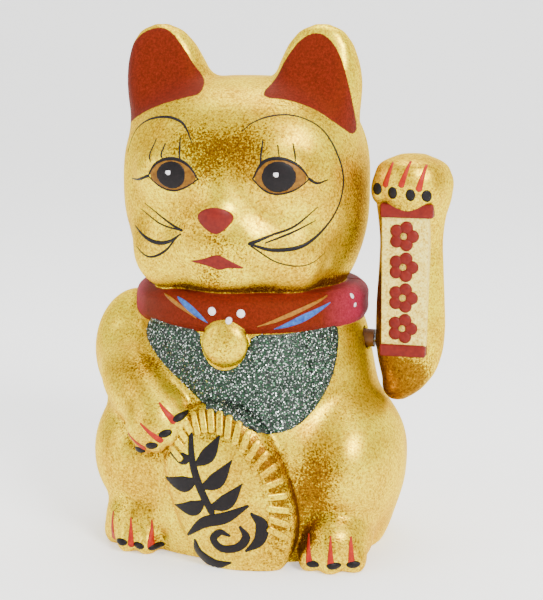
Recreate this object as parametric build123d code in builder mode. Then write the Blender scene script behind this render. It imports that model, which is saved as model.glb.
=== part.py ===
from build123d import *
import os
from math import cos, hypot, radians, sin

# A beckoning cat figurine, 200 mm tall: a hollow moulded body in two glued halves, with one raised
# forearm that swings fore and aft. The forearm is fixed to a steel shaft that passes through the
# shoulder. Inside, the same shaft carries a weighted pendulum with a magnet, and a coil on a small
# circuit board pushes the magnet on at each pass. One AA cell drives it, from a box in the base.
#
# Millimetres. The origin is the middle of the flat underside, +Z is up, the cat faces -Y, and the
# raised arm is on the +X side.

os.makedirs("parts", exist_ok=True)
STANDING = (Align.CENTER, Align.CENTER, Align.MIN)

# Driving dimensions
WALL = 2.5                # moulded wall of the body
ARM_WALL = 2.0            # moulded wall of the raised arm
SEAM_Y = 8.0              # front and rear body halves meet in this plane
RUNNING = 0.05            # radial clearance of the shaft in its bushes
FIT = 0.2                 # clearance between moulded parts that drop into each other

# Swinging shaft
PIVOT_Y, PIVOT_Z = 0.0, 80.0
SHAFT_R = 1.5
SWING = 22.0              # degrees each way before the lever meets a stop
ARM_X = 62.5              # middle of the raised arm
ARM_FACE_X = 49.3         # inner side of the raised arm at the pivot
ARM_SEAM_Y = 5.0          # front and back arm halves meet in this plane

# Base plate and the ledge that it sits against
PLATE_HX, PLATE_HY, PLATE_T = 46.0, 39.0, 2.5
LEDGE_HX, LEDGE_HY, LEDGE_T = 43.0, 36.0, 2.0
BASE_SCREWS = [(33, 22), (-33, 22), (33, -22), (-33, -22)]
BASE_BOSS_R, BASE_BOSS_H = 3.5, 13.0
SCREW_R, HEAD_R, HEAD_T, HEAD_SUNK = 1.25, 2.5, 1.3, 0.3

# Battery bay: one AA cell lying along Y
CELL_R, CELL_L, CELL_X, CELL_Z = 7.25, 49.2, -13.0, 11.0
CELL_Y0 = -22.8           # flat negative end of the cell
NUB_R, NUB_L = 2.75, 1.0
BAY_HX, BAY_HY, BAY_ROOF_Z, BOX_T = 7.6, 28.0, 18.6, 1.4
DOOR_HX, DOOR_HY, DOOR_T, DOOR_TRAVEL = 8.3, 29.3, 1.3, 4.0
RECESS_T = 1.5            # depth of the door's recess in the base plate

# Slide switch
SWITCH_X, SWITCH_TRAVEL = -33.0, 2.2

# Mechanism frame, coil and pendulum
LEVER_X = 20.5            # pendulum and coil share this plane
LEVER_Y = 2.5             # the bob hangs this far behind the shaft, to balance the paw in front of it
FRAME_X0, FRAME_X1, FRAME_T = 2.5, 33.0, 3.0
FRAME_FLOOR_T, FRAME_TOP_Z = 2.0, 90.5
BOARD_Z, BOARD_T = 7.0, 1.6
COIL_R, COIL_H = 9.5, 14.0
WEIGHT_R, WEIGHT_Z0, WEIGHT_Z1 = 8.0, 31.0, 48.0
MAGNET_R, MAGNET_Z0 = 7.0, 26.0
PEG_R = 2.0               # moulded peg that the weight and magnet are pushed onto
STOP_R, STOP_Z = 1.5, 60.0


# ---------------------------------------------------------------- shapes used more than once
def oval_loft(sections, grow=0.0):
    """A solid through level ovals, each (height, centre x, centre y, half width, half depth)."""
    with BuildPart() as form:
        for height, x, y, half_width, half_depth in sections:
            with BuildSketch(Plane.XY.offset(height)):
                with Locations((x, y)):
                    Ellipse(half_width + grow, half_depth + grow)
        loft()
    return form.part


def lobe(centre, radii, axis=(0, 0, 1), grow=0.0):
    """A rounded lobe with its third radius along axis."""
    with BuildPart() as form:
        Sphere(1)
        scale(by=tuple(r + grow for r in radii))
    return form.part.moved(Plane(origin=centre, z_dir=axis).location)


def bar_x(x0, x1, radius, y=PIVOT_Y, z=PIVOT_Z):
    """A round bar along X."""
    with BuildPart() as bar:
        with BuildSketch(Plane.YZ.offset(x0)):
            with Locations((y, z)):
                Circle(radius)
        extrude(amount=x1 - x0)
    return bar.part


def along_y(x, z, radius, y0, y1):
    """A round bar along Y."""
    with BuildPart() as bar:
        with BuildSketch(Plane.XZ.offset(-y0)):
            with Locations((x, z)):
                Circle(radius)
        extrude(amount=-(y1 - y0))
    return bar.part


def ring(x, y, z0, z1, outer, inner):
    """An upright ring."""
    with BuildPart() as made:
        with BuildSketch(Plane.XY.offset(z0)):
            with Locations((x, y)):
                Circle(outer)
                Circle(inner, mode=Mode.SUBTRACT)
        extrude(amount=z1 - z0)
    return made.part


def box_between(low, high):
    """A plain block between two corners."""
    with BuildPart() as block:
        with Locations(tuple(low)):
            Box(*(b - a for a, b in zip(low, high)), align=(Align.MIN, Align.MIN, Align.MIN))
    return block.part


def save(part, name):
    part.label = name
    export_step(part, f"parts/{name}.step")


# ---------------------------------------------------------------- outer form of the cat
TORSO = [
    (0, 1, 0, 52, 43), (6, 1, 0, 55, 46), (25, 2, 0, 57, 47), (45, 2, 0, 56, 47),
    (60, 0, 0, 50.5, 44.5), (75, 0, 0, 47, 42.5), (88, 0, 0, 43.5, 39.5), (98, 0, 0, 36, 33),
]
HEAD = [
    (94, -1, 0, 30, 27), (99, -1, 0, 36, 32), (105, -1.5, 0, 41, 36.5), (113, -2, 0, 44.8, 39.8),
    (124, -2, 0, 47, 42), (137, -2, 0, 47.2, 42.5), (150, -2, 0, 46.5, 41.5),
    (162, -2, 0, 43.5, 38.5), (171, -2, 0, 37, 32.5), (177, -2, 0, 26, 22.5), (180, -2, 0, 10, 9),
]
EAR_X = -2.0              # the ears stand either side of the middle of the head
EAR = [
    (156, 27, -5, 15.5, 15), (170, 28.2, -6, 17, 16.5), (180, 29.3, -6.5, 16.3, 15.5),
    (188, 30.2, -8, 14, 12), (194, 30.8, -9, 10.8, 9), (198, 31.1, -9.5, 6.8, 6),
    (200, 31.2, -9.5, 2.8, 2.8),
]
EAR_HOLLOW = 5            # the hollow of an ear follows only this many of its ovals
EAR_FRONT = Plane(origin=(0, -17.5, 180), x_dir=(1, 0, 0), z_dir=(0, -40, 7))
COLLAR = [
    (86.5, 0, 0, 41.5, 39), (88.5, 0, 0, 44.2, 41.6), (94, 0, 0, 45.4, 42.8),
    (99.5, 0, 0, 44.4, 41.8), (101.5, 0, 0, 42, 39.5),
]
THIGHS = [((43, -12, 35), (20, 31, 27)), ((-38.5, -12, 35), (21, 31, 27))]
SHOULDER = ((-46, -4, 72), (17, 20, 24))
FOREARM = ((-35.5, -33, 63.5), (13, 13, 27), (26, -30, -16))
PAW = ((-24, -48, 54.5), (12, 9, 10.5), (26, -20, -24))
COIN = ((3.5, -45, 28), (23, 10.5, 35), (-0.36, 0, 1))
FEET = [((-37, -25, 10), (15, 18, 14)), ((41, -30, 9.5), (13.5, 18, 12.5))]
MUZZLE = ((-2, -29, 119), (25, 16.5, 19))
NOSE = ((-2, -45, 131), (6.5, 3.2, 5))
BELL = ((0, -42, 83), (9.6, 4.5, 9.6))
TAIL_R, TAIL_Z, TAIL_REACH = 7.0, 12.0, 40.0


def ear_volume(side, grow=0.0):
    """One ear: a rounded horn whose front is cut off flat."""
    ovals = EAR if grow == 0 else EAR[:EAR_HOLLOW]
    placed = [(z, EAR_X + side * x, y, half_width, half_depth) for z, x, y, half_width, half_depth in ovals]
    with BuildPart() as ear:
        add(oval_loft(placed, grow))
        split(bisect_by=EAR_FRONT.offset(grow), keep=Keep.BOTTOM)
    return ear.part


def cat_volume(grow=0.0):
    """The main masses of the body, or, shrunk inwards by the wall, its hollow."""
    with BuildPart() as form:
        add(oval_loft(TORSO, grow))
        add(oval_loft(HEAD, grow))
        for side in (1, -1):
            add(ear_volume(side, grow))
        for thigh in THIGHS:
            add(lobe(*thigh, grow=grow))
        add(lobe(*SHOULDER, grow=grow))
    return form.part


def tail():
    """A tail that lies curled round the back of the seat."""
    with BuildPart() as form:
        with BuildLine():
            path = ThreePointArc((-TAIL_REACH, 24, TAIL_Z), (0, 46, TAIL_Z + 3), (TAIL_REACH, 24, TAIL_Z))
        with BuildSketch(Plane(origin=path @ 0, z_dir=path % 0)):
            Circle(TAIL_R)
        sweep()
        with Locations(path @ 0, path @ 1):
            Sphere(TAIL_R)
    return form.part


def below(height):
    """Everything under a level plane."""
    with BuildPart() as block:
        with Locations((0, 0, height)):
            Box(300, 300, 100, align=(Align.CENTER, Align.CENTER, Align.MAX))
    return block.part


with BuildPart() as shell:
    add(cat_volume())
    add(oval_loft(COLLAR))
    for form in (FOREARM, PAW, COIN, MUZZLE, NOSE, BELL, *FEET):
        add(lobe(*form))
    add(tail())
    add(below(0), mode=Mode.SUBTRACT)

# ---------------------------------------------------------------- hollow, ledge, bosses
CAVITY_Z = PLATE_T + LEDGE_T

with BuildPart() as cavity:
    add(cat_volume(-WALL))
    add(below(CAVITY_Z), mode=Mode.SUBTRACT)

with BuildPart() as base_opening:
    with BuildSketch():
        Ellipse(PLATE_HX + FIT, PLATE_HY + FIT)
    extrude(amount=PLATE_T)
    with BuildSketch(Plane.XY.offset(PLATE_T)):
        Ellipse(LEDGE_HX, LEDGE_HY)
    extrude(amount=LEDGE_T)

RIB_T, RIB_REACH, RIB_H = 2.0, 13.0, 9.0

with BuildPart() as bosses:
    for x, y in BASE_SCREWS:
        reach = hypot(x, y)
        turn = Plane(origin=(x, y, PLATE_T), x_dir=(x / reach, y / reach, 0), z_dir=(0, 0, 1))
        with BuildSketch(turn):
            Circle(BASE_BOSS_R)
        extrude(amount=BASE_BOSS_H)
        with BuildSketch(turn):
            Rectangle(RIB_REACH, RIB_T, align=(Align.MIN, Align.CENTER))
        extrude(amount=RIB_H)

with BuildPart() as pilots:
    with Locations(*[(x, y, 0) for x, y in BASE_SCREWS]):
        Cylinder(SCREW_R, BASE_BOSS_H, align=STANDING)

SHOULDER_HOLE_R = 4.6

with BuildPart() as body:
    add(shell.part)
    add(cavity.part, mode=Mode.SUBTRACT)
    add(base_opening.part, mode=Mode.SUBTRACT)
    add(bosses.part)
    add(pilots.part, mode=Mode.SUBTRACT)
    add(bar_x(38, 60, SHOULDER_HOLE_R), mode=Mode.SUBTRACT)

seam = Plane(origin=(0, SEAM_Y, 0), z_dir=(0, -1, 0))

with BuildPart() as front_shell:
    add(body.part)
    split(bisect_by=seam, keep=Keep.TOP)

with BuildPart() as rear_shell:
    add(body.part)
    split(bisect_by=seam, keep=Keep.BOTTOM)

save(front_shell.part, "front_shell")
save(rear_shell.part, "rear_shell")


# ---------------------------------------------------------------- raised arm
ARM = [
    (57.5, 58.5, -3, 3, 3), (60, 59.5, -3, 6, 6), (66, 61.8, -2, 9.5, 10), (74, 62.5, -1, 12.2, 12.5),
    (84, 62.6, 0, 13.2, 14), (95, ARM_X, 0, 13, 13.2), (108, ARM_X, 0, 12.3, 12.4),
    (120, ARM_X, -0.5, 12, 12), (128, 62.8, -2, 12.8, 13), (136, 63.5, -3, 14.3, 15),
    (144, 63.5, -3.5, 14.2, 14.8), (149, 63, -3.5, 11, 12), (152, 63, -3.5, 5, 6),
]
KNUCKLES = ((62.6, -12, 142.5), (12.6, 9, 8.5))
PANEL_X, PANEL_HX, PANEL_Z0, PANEL_Z1, PANEL_FRONT_Y = 62.3, 8.0, 75.5, 134.0, -15.8
BAND_HX, BAND_H, BAND_PROUD = 9.6, 5.5, 0.8
HUB_R, HUB_X1 = 4.0, 66.0
DOWEL_R, DOWEL_H, DOWEL_X = 1.7, 4.0, 62.5
DOWEL_ZS = (100, 126)


def arm_volume(grow=0.0):
    with BuildPart() as form:
        add(oval_loft(ARM, grow))
        add(lobe(*KNUCKLES, grow=grow))
    return form.part


def arm_panel():
    """The raised tablet on the front of the arm, with a band across each end."""
    with BuildPart() as panel:
        with Locations((PANEL_X, PANEL_FRONT_Y, PANEL_Z0)):
            Box(2 * PANEL_HX, 10, PANEL_Z1 - PANEL_Z0, align=(Align.CENTER, Align.MIN, Align.MIN))
        for z in (PANEL_Z0, PANEL_Z1 - BAND_H):
            with Locations((PANEL_X, PANEL_FRONT_Y - BAND_PROUD, z)):
                Box(2 * BAND_HX, 8, BAND_H, align=(Align.CENTER, Align.MIN, Align.MIN))
    return panel.part


with BuildPart() as arm_hollow:
    add(arm_volume(-ARM_WALL))

arm_seam = Plane(origin=(0, ARM_SEAM_Y, 0), z_dir=(0, -1, 0))

with BuildPart() as arm_front_shell:
    add(arm_volume())
    add(arm_panel())
    split(bisect_by=arm_seam, keep=Keep.TOP)
    add(arm_hollow.part, mode=Mode.SUBTRACT)
    add(bar_x(ARM_FACE_X + 0.2, HUB_X1, HUB_R))
    for z in DOWEL_ZS:
        add(along_y(DOWEL_X, z, DOWEL_R + 1.2, -12.0, ARM_SEAM_Y))
        add(along_y(DOWEL_X, z, DOWEL_R + 0.05, ARM_SEAM_Y - DOWEL_H - 0.5, ARM_SEAM_Y), mode=Mode.SUBTRACT)
    add(bar_x(ARM_FACE_X - 2, HUB_X1 - 1.5, SHAFT_R), mode=Mode.SUBTRACT)

with BuildPart() as arm_back_shell:
    add(arm_volume())
    split(bisect_by=arm_seam, keep=Keep.BOTTOM)
    add(arm_hollow.part, mode=Mode.SUBTRACT)
    for z in DOWEL_ZS:
        add(along_y(DOWEL_X, z, DOWEL_R, ARM_SEAM_Y - DOWEL_H, 11.0))

save(arm_front_shell.part, "arm_front_shell")
save(arm_back_shell.part, "arm_back_shell")

# ---------------------------------------------------------------- shaft and pendulum
SHAFT_X0, CLIP_X, CLIP_T = 0.4, 1.0, 0.8
CLIP_GROOVE_R, CLIP_R = 1.1, 3.0
SPACER_X0, SPACER_X1, SPACER_R = 37.4, 48.8, 3.5
LEVER_HUB_R, LEVER_HUB_L = 6.0, 8.0
LEVER_W, LEVER_D = 5.0, 4.0
GRUB_R = 1.0              # small screw that locks the lever to the shaft

with BuildPart() as pivot_shaft:
    add(bar_x(SHAFT_X0, HUB_X1 - 1.5, SHAFT_R))
    with BuildSketch(Plane.YZ.offset(CLIP_X)):
        with Locations((PIVOT_Y, PIVOT_Z)):
            Circle(SHAFT_R)
            Circle(CLIP_GROOVE_R, mode=Mode.SUBTRACT)
    extrude(amount=CLIP_T, mode=Mode.SUBTRACT)

with BuildPart() as shaft_clip:
    with BuildSketch(Plane.YZ.offset(CLIP_X)):
        with Locations((PIVOT_Y, PIVOT_Z)):
            Circle(CLIP_R)
            Circle(CLIP_GROOVE_R, mode=Mode.SUBTRACT)
            Rectangle(1.6, 2 * CLIP_R, align=(Align.CENTER, Align.MAX), mode=Mode.SUBTRACT)
    extrude(amount=CLIP_T)

with BuildPart() as arm_spacer:
    add(bar_x(SPACER_X0, SPACER_X1, SPACER_R))
    add(bar_x(SPACER_X0, ARM_FACE_X, SHAFT_R), mode=Mode.SUBTRACT)

CAP_R, CAP_T = 2.6, 0.8

with BuildPart() as pendulum_lever:
    add(bar_x(LEVER_X - LEVER_HUB_L / 2, LEVER_X + LEVER_HUB_L / 2, LEVER_HUB_R))
    with Locations((LEVER_X, LEVER_Y, WEIGHT_Z1 + 2)):
        Box(LEVER_W, LEVER_D, PIVOT_Z - WEIGHT_Z1 - 2, align=STANDING)
    for radius, z, height in (
        (WEIGHT_R, WEIGHT_Z1, 2.0), (PEG_R, MAGNET_Z0 - CAP_T, WEIGHT_Z1 - MAGNET_Z0 + CAP_T),
        (CAP_R, MAGNET_Z0 - CAP_T, CAP_T),
    ):
        with BuildSketch(Plane.XY.offset(z)):
            with Locations((LEVER_X, LEVER_Y)):
                Circle(radius)
        extrude(amount=height)
    add(bar_x(LEVER_X - 5, LEVER_X + 5, SHAFT_R), mode=Mode.SUBTRACT)
    add(along_y(LEVER_X, PIVOT_Z, GRUB_R, PIVOT_Y, LEVER_HUB_R + 1), mode=Mode.SUBTRACT)

with BuildPart() as lever_screw:
    add(along_y(LEVER_X, PIVOT_Z, GRUB_R, SHAFT_R, LEVER_HUB_R - 0.3))
    add(along_y(LEVER_X, PIVOT_Z, 0.5, LEVER_HUB_R - 1.6, LEVER_HUB_R), mode=Mode.SUBTRACT)


with BuildPart() as counterweight:
    add(ring(LEVER_X, LEVER_Y, WEIGHT_Z0, WEIGHT_Z1, WEIGHT_R, PEG_R))
    chamfer(counterweight.edges().filter_by(GeomType.CIRCLE).group_by(Axis.Z)[0], 0.6)

with BuildPart() as magnet:
    add(ring(LEVER_X, LEVER_Y, MAGNET_Z0, WEIGHT_Z0, MAGNET_R, PEG_R))

for piece, name in (
    (pivot_shaft, "pivot_shaft"), (shaft_clip, "shaft_clip"), (arm_spacer, "arm_spacer"),
    (pendulum_lever, "pendulum_lever"), (lever_screw, "lever_screw"),
    (counterweight, "counterweight"), (magnet, "magnet"),
):
    save(piece.part, name)

# ---------------------------------------------------------------- mechanism frame, bushes, coil, board
BUSH_R, FLANGE_R, FLANGE_T = 3.0, 4.3, 1.0
FRAME_HALF, FRAME_TOP_HALF = 15.0, 6.0
FRAME_BOSS_Y, FRAME_BOSS_R, FRAME_BOSS_TOP = 19.0, 3.0, 14.0
BOARD_X0, BOARD_X1, BOARD_HALF = 8.0, 32.0, 15.0
BOARD_PEGS = [(10.5, -12.5), (29.8, 12.5)]
TIE_Z, TIE_T = 88.0, 2.5
STOP_GAP = 0.4            # left between lever and stop at the end of the swing


def stop_y(side):
    """Where a stop bar sits, so that it meets the lever's side at the end of the swing."""
    face = side * LEVER_Y + LEVER_D / 2
    swung = (PIVOT_Z - STOP_Z) * sin(radians(SWING))
    return side * (face + STOP_R + STOP_GAP + swung) / cos(radians(SWING))


with BuildPart() as mechanism_frame:
    frame_span = FRAME_X1 + FRAME_T - FRAME_X0
    with Locations((FRAME_X0, 0, PLATE_T)):
        Box(frame_span, 2 * FRAME_HALF, FRAME_FLOOR_T, align=(Align.MIN, Align.CENTER, Align.MIN))
    for x in (FRAME_X0, FRAME_X1):
        with BuildSketch(Plane.YZ.offset(x)):
            Polygon(
                (-FRAME_HALF, PLATE_T), (FRAME_HALF, PLATE_T), (FRAME_HALF, STOP_Z + 3),
                (FRAME_TOP_HALF, FRAME_TOP_Z), (-FRAME_TOP_HALF, FRAME_TOP_Z), (-FRAME_HALF, STOP_Z + 3),
                align=None,
            )
            with Locations((0, 28)):
                RectangleRounded(16, 36, 4, mode=Mode.SUBTRACT)
        extrude(amount=FRAME_T)
    with Locations((FRAME_X0, 0, TIE_Z)):
        Box(frame_span, 2 * FRAME_TOP_HALF, TIE_T, align=(Align.MIN, Align.CENTER, Align.MIN))
    for side in (-1, 1):
        add(bar_x(FRAME_X0, FRAME_X1 + FRAME_T, STOP_R, stop_y(side), STOP_Z))
    for y in (-FRAME_BOSS_Y, FRAME_BOSS_Y):
        with BuildSketch(Plane.XY.offset(PLATE_T)):
            with Locations((LEVER_X, y)):
                Circle(FRAME_BOSS_R)
        extrude(amount=FRAME_BOSS_TOP - PLATE_T)
        with Locations((LEVER_X, y * 0.8, PLATE_T)):
            Box(2 * FRAME_BOSS_R, abs(y) * 0.4, FRAME_FLOOR_T, align=STANDING)
        with Locations((LEVER_X, y, PLATE_T)):
            Cylinder(SCREW_R, 7.5, align=STANDING, mode=Mode.SUBTRACT)
    with Locations(*[(x, y, PLATE_T) for x, y in BOARD_PEGS]):
        Cylinder(2.0, BOARD_Z - PLATE_T, align=STANDING)
        Cylinder(1.0, BOARD_Z + BOARD_T + 0.8 - PLATE_T, align=STANDING)
    add(bar_x(0, 40, BUSH_R), mode=Mode.SUBTRACT)


def bush(x0, x1, flange_x):
    """A flanged nylon bush with a running bore."""
    with BuildPart() as made:
        add(bar_x(x0, x1, BUSH_R))
        add(bar_x(flange_x, flange_x + FLANGE_T, FLANGE_R))
        add(bar_x(x0 - 2, x1 + 2, SHAFT_R + RUNNING), mode=Mode.SUBTRACT)
    return made.part


with BuildPart() as inner_bush:
    add(bush(FRAME_X0 - 0.2, FRAME_X0 + FRAME_T + FLANGE_T, FRAME_X0 + FRAME_T))

with BuildPart() as outer_bush:
    add(bush(FRAME_X1 - FLANGE_T, FRAME_X1 + FRAME_T + 0.2, FRAME_X1 - FLANGE_T))

with BuildPart() as circuit_board:
    with Locations((BOARD_X0, 0, BOARD_Z)):
        Box(BOARD_X1 - BOARD_X0, 2 * BOARD_HALF, BOARD_T, align=(Align.MIN, Align.CENTER, Align.MIN))
    with Locations(*[(x, y, BOARD_Z) for x, y in BOARD_PEGS]):
        Cylinder(1.0, BOARD_T, align=STANDING, mode=Mode.SUBTRACT)

COIL_Z = BOARD_Z + BOARD_T
SPOOL_R, SPOOL_BORE_R, SPOOL_FLANGE_T = 4.0, 2.5, 1.2

with BuildPart() as coil_bobbin:
    add(ring(LEVER_X, LEVER_Y, COIL_Z, COIL_Z + COIL_H, SPOOL_R, SPOOL_BORE_R))
    for z in (COIL_Z, COIL_Z + COIL_H - SPOOL_FLANGE_T):
        add(ring(LEVER_X, LEVER_Y, z, z + SPOOL_FLANGE_T, COIL_R, SPOOL_BORE_R))

with BuildPart() as coil_winding:
    wound_z0, wound_z1 = COIL_Z + SPOOL_FLANGE_T, COIL_Z + COIL_H - SPOOL_FLANGE_T
    add(ring(LEVER_X, LEVER_Y, wound_z0, wound_z1, COIL_R - 1.2, SPOOL_R))

TRANSISTOR_AT, TRANSISTOR_R, TRANSISTOR_H, LEG = (28.5, -11.5), 2.4, 4.6, 0.45
CAPACITOR_AT, CAPACITOR_R, CAPACITOR_H = (13.4, 12.2), 2.5, 8.0

with BuildPart() as transistor:
    with BuildSketch(Plane.XY.offset(COIL_Z + 2)):
        with Locations(TRANSISTOR_AT):
            Circle(TRANSISTOR_R)
            with Locations((0, -TRANSISTOR_R)):
                Rectangle(2 * TRANSISTOR_R, 1.8, mode=Mode.SUBTRACT)
    extrude(amount=TRANSISTOR_H)
    for step in (-1.27, 0, 1.27):
        with Locations((TRANSISTOR_AT[0] + step, TRANSISTOR_AT[1], COIL_Z)):
            Box(LEG, LEG, 2.5, align=STANDING)

with BuildPart() as capacitor:
    with Locations((*CAPACITOR_AT, COIL_Z)):
        Cylinder(CAPACITOR_R, CAPACITOR_H, align=STANDING)
    fillet(capacitor.faces().sort_by(Axis.Z)[-1].edges(), 0.5)
    with Locations((*CAPACITOR_AT, COIL_Z + CAPACITOR_H)):
        Box(2 * CAPACITOR_R - 1.4, 0.3, 0.5, mode=Mode.SUBTRACT)
        Box(0.3, 2 * CAPACITOR_R - 1.4, 0.5, mode=Mode.SUBTRACT)

for piece, name in (
    (mechanism_frame, "mechanism_frame"), (inner_bush, "inner_bush"), (outer_bush, "outer_bush"),
    (circuit_board, "circuit_board"), (coil_bobbin, "coil_bobbin"), (coil_winding, "coil_winding"),
    (transistor, "transistor"), (capacitor, "capacitor"),
):
    save(piece.part, name)

# ---------------------------------------------------------------- base plate, door and battery bay
DOOR_Z0 = RECESS_T - DOOR_T
TONGUE, TONGUE_L, TONGUE_YS = 0.6, 6.0, (-24.0, 12.0)
BOX_SCREWS = [(-26.5, 14.0), (-26.5, -14.0)]
FRAME_SCREWS = [(LEVER_X, FRAME_BOSS_Y), (LEVER_X, -FRAME_BOSS_Y)]
SLOT_HALF = SWITCH_TRAVEL / 2 + 1.3


with BuildPart() as base_plate:
    with BuildSketch():
        Ellipse(PLATE_HX, PLATE_HY)
    extrude(amount=PLATE_T)
    # the opening that the cell goes in by, and the door's recess with grooves for its tongues
    add(box_between((CELL_X - BAY_HX, -BAY_HY, 0), (CELL_X + BAY_HX, BAY_HY, PLATE_T)), mode=Mode.SUBTRACT)
    recess_hx = DOOR_HX + FIT
    recess_y0, recess_y1 = -DOOR_HY - FIT, DOOR_HY + DOOR_TRAVEL + FIT
    add(
        box_between((CELL_X - recess_hx, recess_y0, 0), (CELL_X + recess_hx, recess_y1, RECESS_T)),
        mode=Mode.SUBTRACT,
    )
    for y in TONGUE_YS:
        for side in (-1, 1):
            x0, x1 = sorted((CELL_X + side * (recess_hx - 0.1), CELL_X + side * (recess_hx + TONGUE + 0.1)))
            groove = box_between((x0, y - FIT, 0.5), (x1, y + TONGUE_L + DOOR_TRAVEL + FIT, RECESS_T))
            entry = box_between((x0, y + DOOR_TRAVEL - FIT, 0), (x1, y + TONGUE_L + DOOR_TRAVEL + FIT, 0.6))
            add(groove, mode=Mode.SUBTRACT)
            add(entry, mode=Mode.SUBTRACT)
    # screw holes, sunk so that the heads stay off the table
    for x, y in BASE_SCREWS + BOX_SCREWS + FRAME_SCREWS:
        with Locations((x, y, 0)):
            Cylinder(SCREW_R + FIT, PLATE_T, align=STANDING, mode=Mode.SUBTRACT)
            Cylinder(HEAD_R + 0.3, HEAD_SUNK + HEAD_T, align=STANDING, mode=Mode.SUBTRACT)
    # slot for the switch knob, in a finger dish
    for half_x, half_y, depth in ((1.3, SLOT_HALF, PLATE_T), (3.5, 6.0, 1.0)):
        dish = box_between((SWITCH_X - half_x, -half_y, 0), (SWITCH_X + half_x, half_y, depth))
        add(dish, mode=Mode.SUBTRACT)

with BuildPart() as battery_door:
    add(box_between((CELL_X - DOOR_HX, -DOOR_HY, DOOR_Z0), (CELL_X + DOOR_HX, DOOR_HY, RECESS_T)))
    for side in (-1, 1):
        for y in TONGUE_YS:
            x0, x1 = sorted((CELL_X + side * DOOR_HX, CELL_X + side * (DOOR_HX + TONGUE)))
            add(box_between((x0, y, 0.7), (x1, y + TONGUE_L, RECESS_T)))
        rail = CELL_X + side * (BAY_HX - 1.0)
        add(box_between((rail - 0.5, -26, RECESS_T), (rail + 0.5, 22, PLATE_T + 0.3)))
    # finger grip: grooves across the outer face
    for step in range(6):
        y = 12.0 + 2.0 * step
        add(box_between((CELL_X - 5, y, DOOR_Z0), (CELL_X + 5, y + 1.0, DOOR_Z0 + 0.4)), mode=Mode.SUBTRACT)

with BuildPart() as battery_box:
    outer_hx, outer_hy = BAY_HX + BOX_T, BAY_HY + BOX_T
    box_top = BAY_ROOF_Z + BOX_T
    add(box_between((CELL_X - outer_hx, -outer_hy, PLATE_T), (CELL_X + outer_hx, outer_hy, box_top)))
    fillet(battery_box.edges().filter_by(Axis.Y).group_by(Axis.Z)[-1], 4.0)
    bay = box_between((CELL_X - BAY_HX, -BAY_HY, PLATE_T), (CELL_X + BAY_HX, BAY_HY, BAY_ROOF_Z))
    add(bay, mode=Mode.SUBTRACT)
    inner_corners = battery_box.edges().filter_by(Axis.Y)
    fillet(inner_corners.filter_by_position(Axis.Z, BAY_ROOF_Z - 0.1, BAY_ROOF_Z + 0.1), 2.8)
    for x, y in BOX_SCREWS:
        with BuildSketch(Plane.XY.offset(PLATE_T)):
            with Locations((x, y)):
                Circle(3.0)
        extrude(amount=8.0)
        add(box_between((x, y - 1.2, PLATE_T), (CELL_X - outer_hx + 0.5, y + 1.2, PLATE_T + 6)))
        with Locations((x, y, PLATE_T)):
            Cylinder(SCREW_R, 7.5, align=STANDING, mode=Mode.SUBTRACT)
    # a slit in each end wall for the tab of its contact
    for y in (-outer_hy, BAY_HY):
        add(box_between((CELL_X - 1.6, y, 12), (CELL_X + 1.6, y + BOX_T, 15)), mode=Mode.SUBTRACT)

CONTACT_T = 0.4
with BuildPart() as battery:
    with BuildSketch(Plane.XZ.offset(-CELL_Y0)):
        with Locations((CELL_X, CELL_Z)):
            Circle(CELL_R)
    extrude(amount=-CELL_L)
    fillet(battery.edges().filter_by(GeomType.CIRCLE), 0.6)
    add(along_y(CELL_X, CELL_Z, NUB_R, CELL_Y0 + CELL_L, CELL_Y0 + CELL_L + NUB_L))


def contact(end_y, inward):
    """A sprung-steel contact plate against an end wall, with a solder tab through the wall."""
    inner_y = end_y + inward * CONTACT_T
    tab_y = end_y - inward * (BOX_T + 2.0)
    y0, y1 = sorted((end_y, inner_y))
    t0, t1 = sorted((tab_y, inner_y))
    with BuildPart() as made:
        add(box_between((CELL_X - 5.5, y0, 5.0), (CELL_X + 5.5, y1, 17.0)))
        add(box_between((CELL_X - 1.5, t0, 13.3), (CELL_X + 1.5, t1, 13.7)))
    return made.part


with BuildPart() as positive_contact:
    add(contact(BAY_HY, -1))

SPRING_R0, SPRING_WIRE_R, SPRING_TURNS = 3.6, 0.35, 4
spring_y0 = -BAY_HY + CONTACT_T
with BuildPart() as negative_spring:
    with BuildLine():
        spring_path = Helix(
            pitch=(CELL_Y0 - spring_y0 - 2 * SPRING_WIRE_R) / SPRING_TURNS,
            height=CELL_Y0 - spring_y0 - 2 * SPRING_WIRE_R,
            radius=SPRING_R0,
            center=(CELL_X, spring_y0 + SPRING_WIRE_R, CELL_Z),
            direction=(0, 1, 0),
        )
    with BuildSketch(Plane(origin=spring_path @ 0, z_dir=spring_path % 0)):
        Circle(SPRING_WIRE_R)
    sweep(is_frenet=True)

with BuildPart() as negative_contact:
    add(contact(-BAY_HY, 1))

# ---------------------------------------------------------------- switch, screws and leads
with BuildPart() as switch_body:
    add(box_between((SWITCH_X - 2.2, -4.6, PLATE_T), (SWITCH_X + 2.2, 4.6, PLATE_T + 4.5)))
    guide = box_between((SWITCH_X - 1.1, -SLOT_HALF, PLATE_T), (SWITCH_X + 1.1, SLOT_HALF, PLATE_T + 1.8))
    add(guide, mode=Mode.SUBTRACT)
    for y in (-2.5, 0, 2.5):
        add(box_between((SWITCH_X - 0.3, y - 0.6, PLATE_T + 4.5), (SWITCH_X + 0.3, y + 0.6, PLATE_T + 7.0)))

with BuildPart() as switch_knob:
    knob_y0 = -SWITCH_TRAVEL / 2 - 1.1
    add(box_between((SWITCH_X - 1.0, knob_y0, 0.4), (SWITCH_X + 1.0, knob_y0 + 2.2, PLATE_T + 1.6)))
    grip = box_between((SWITCH_X - 1.0, knob_y0 + 0.9, 0.4), (SWITCH_X + 1.0, knob_y0 + 1.3, 0.8))
    add(grip, mode=Mode.SUBTRACT)


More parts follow.
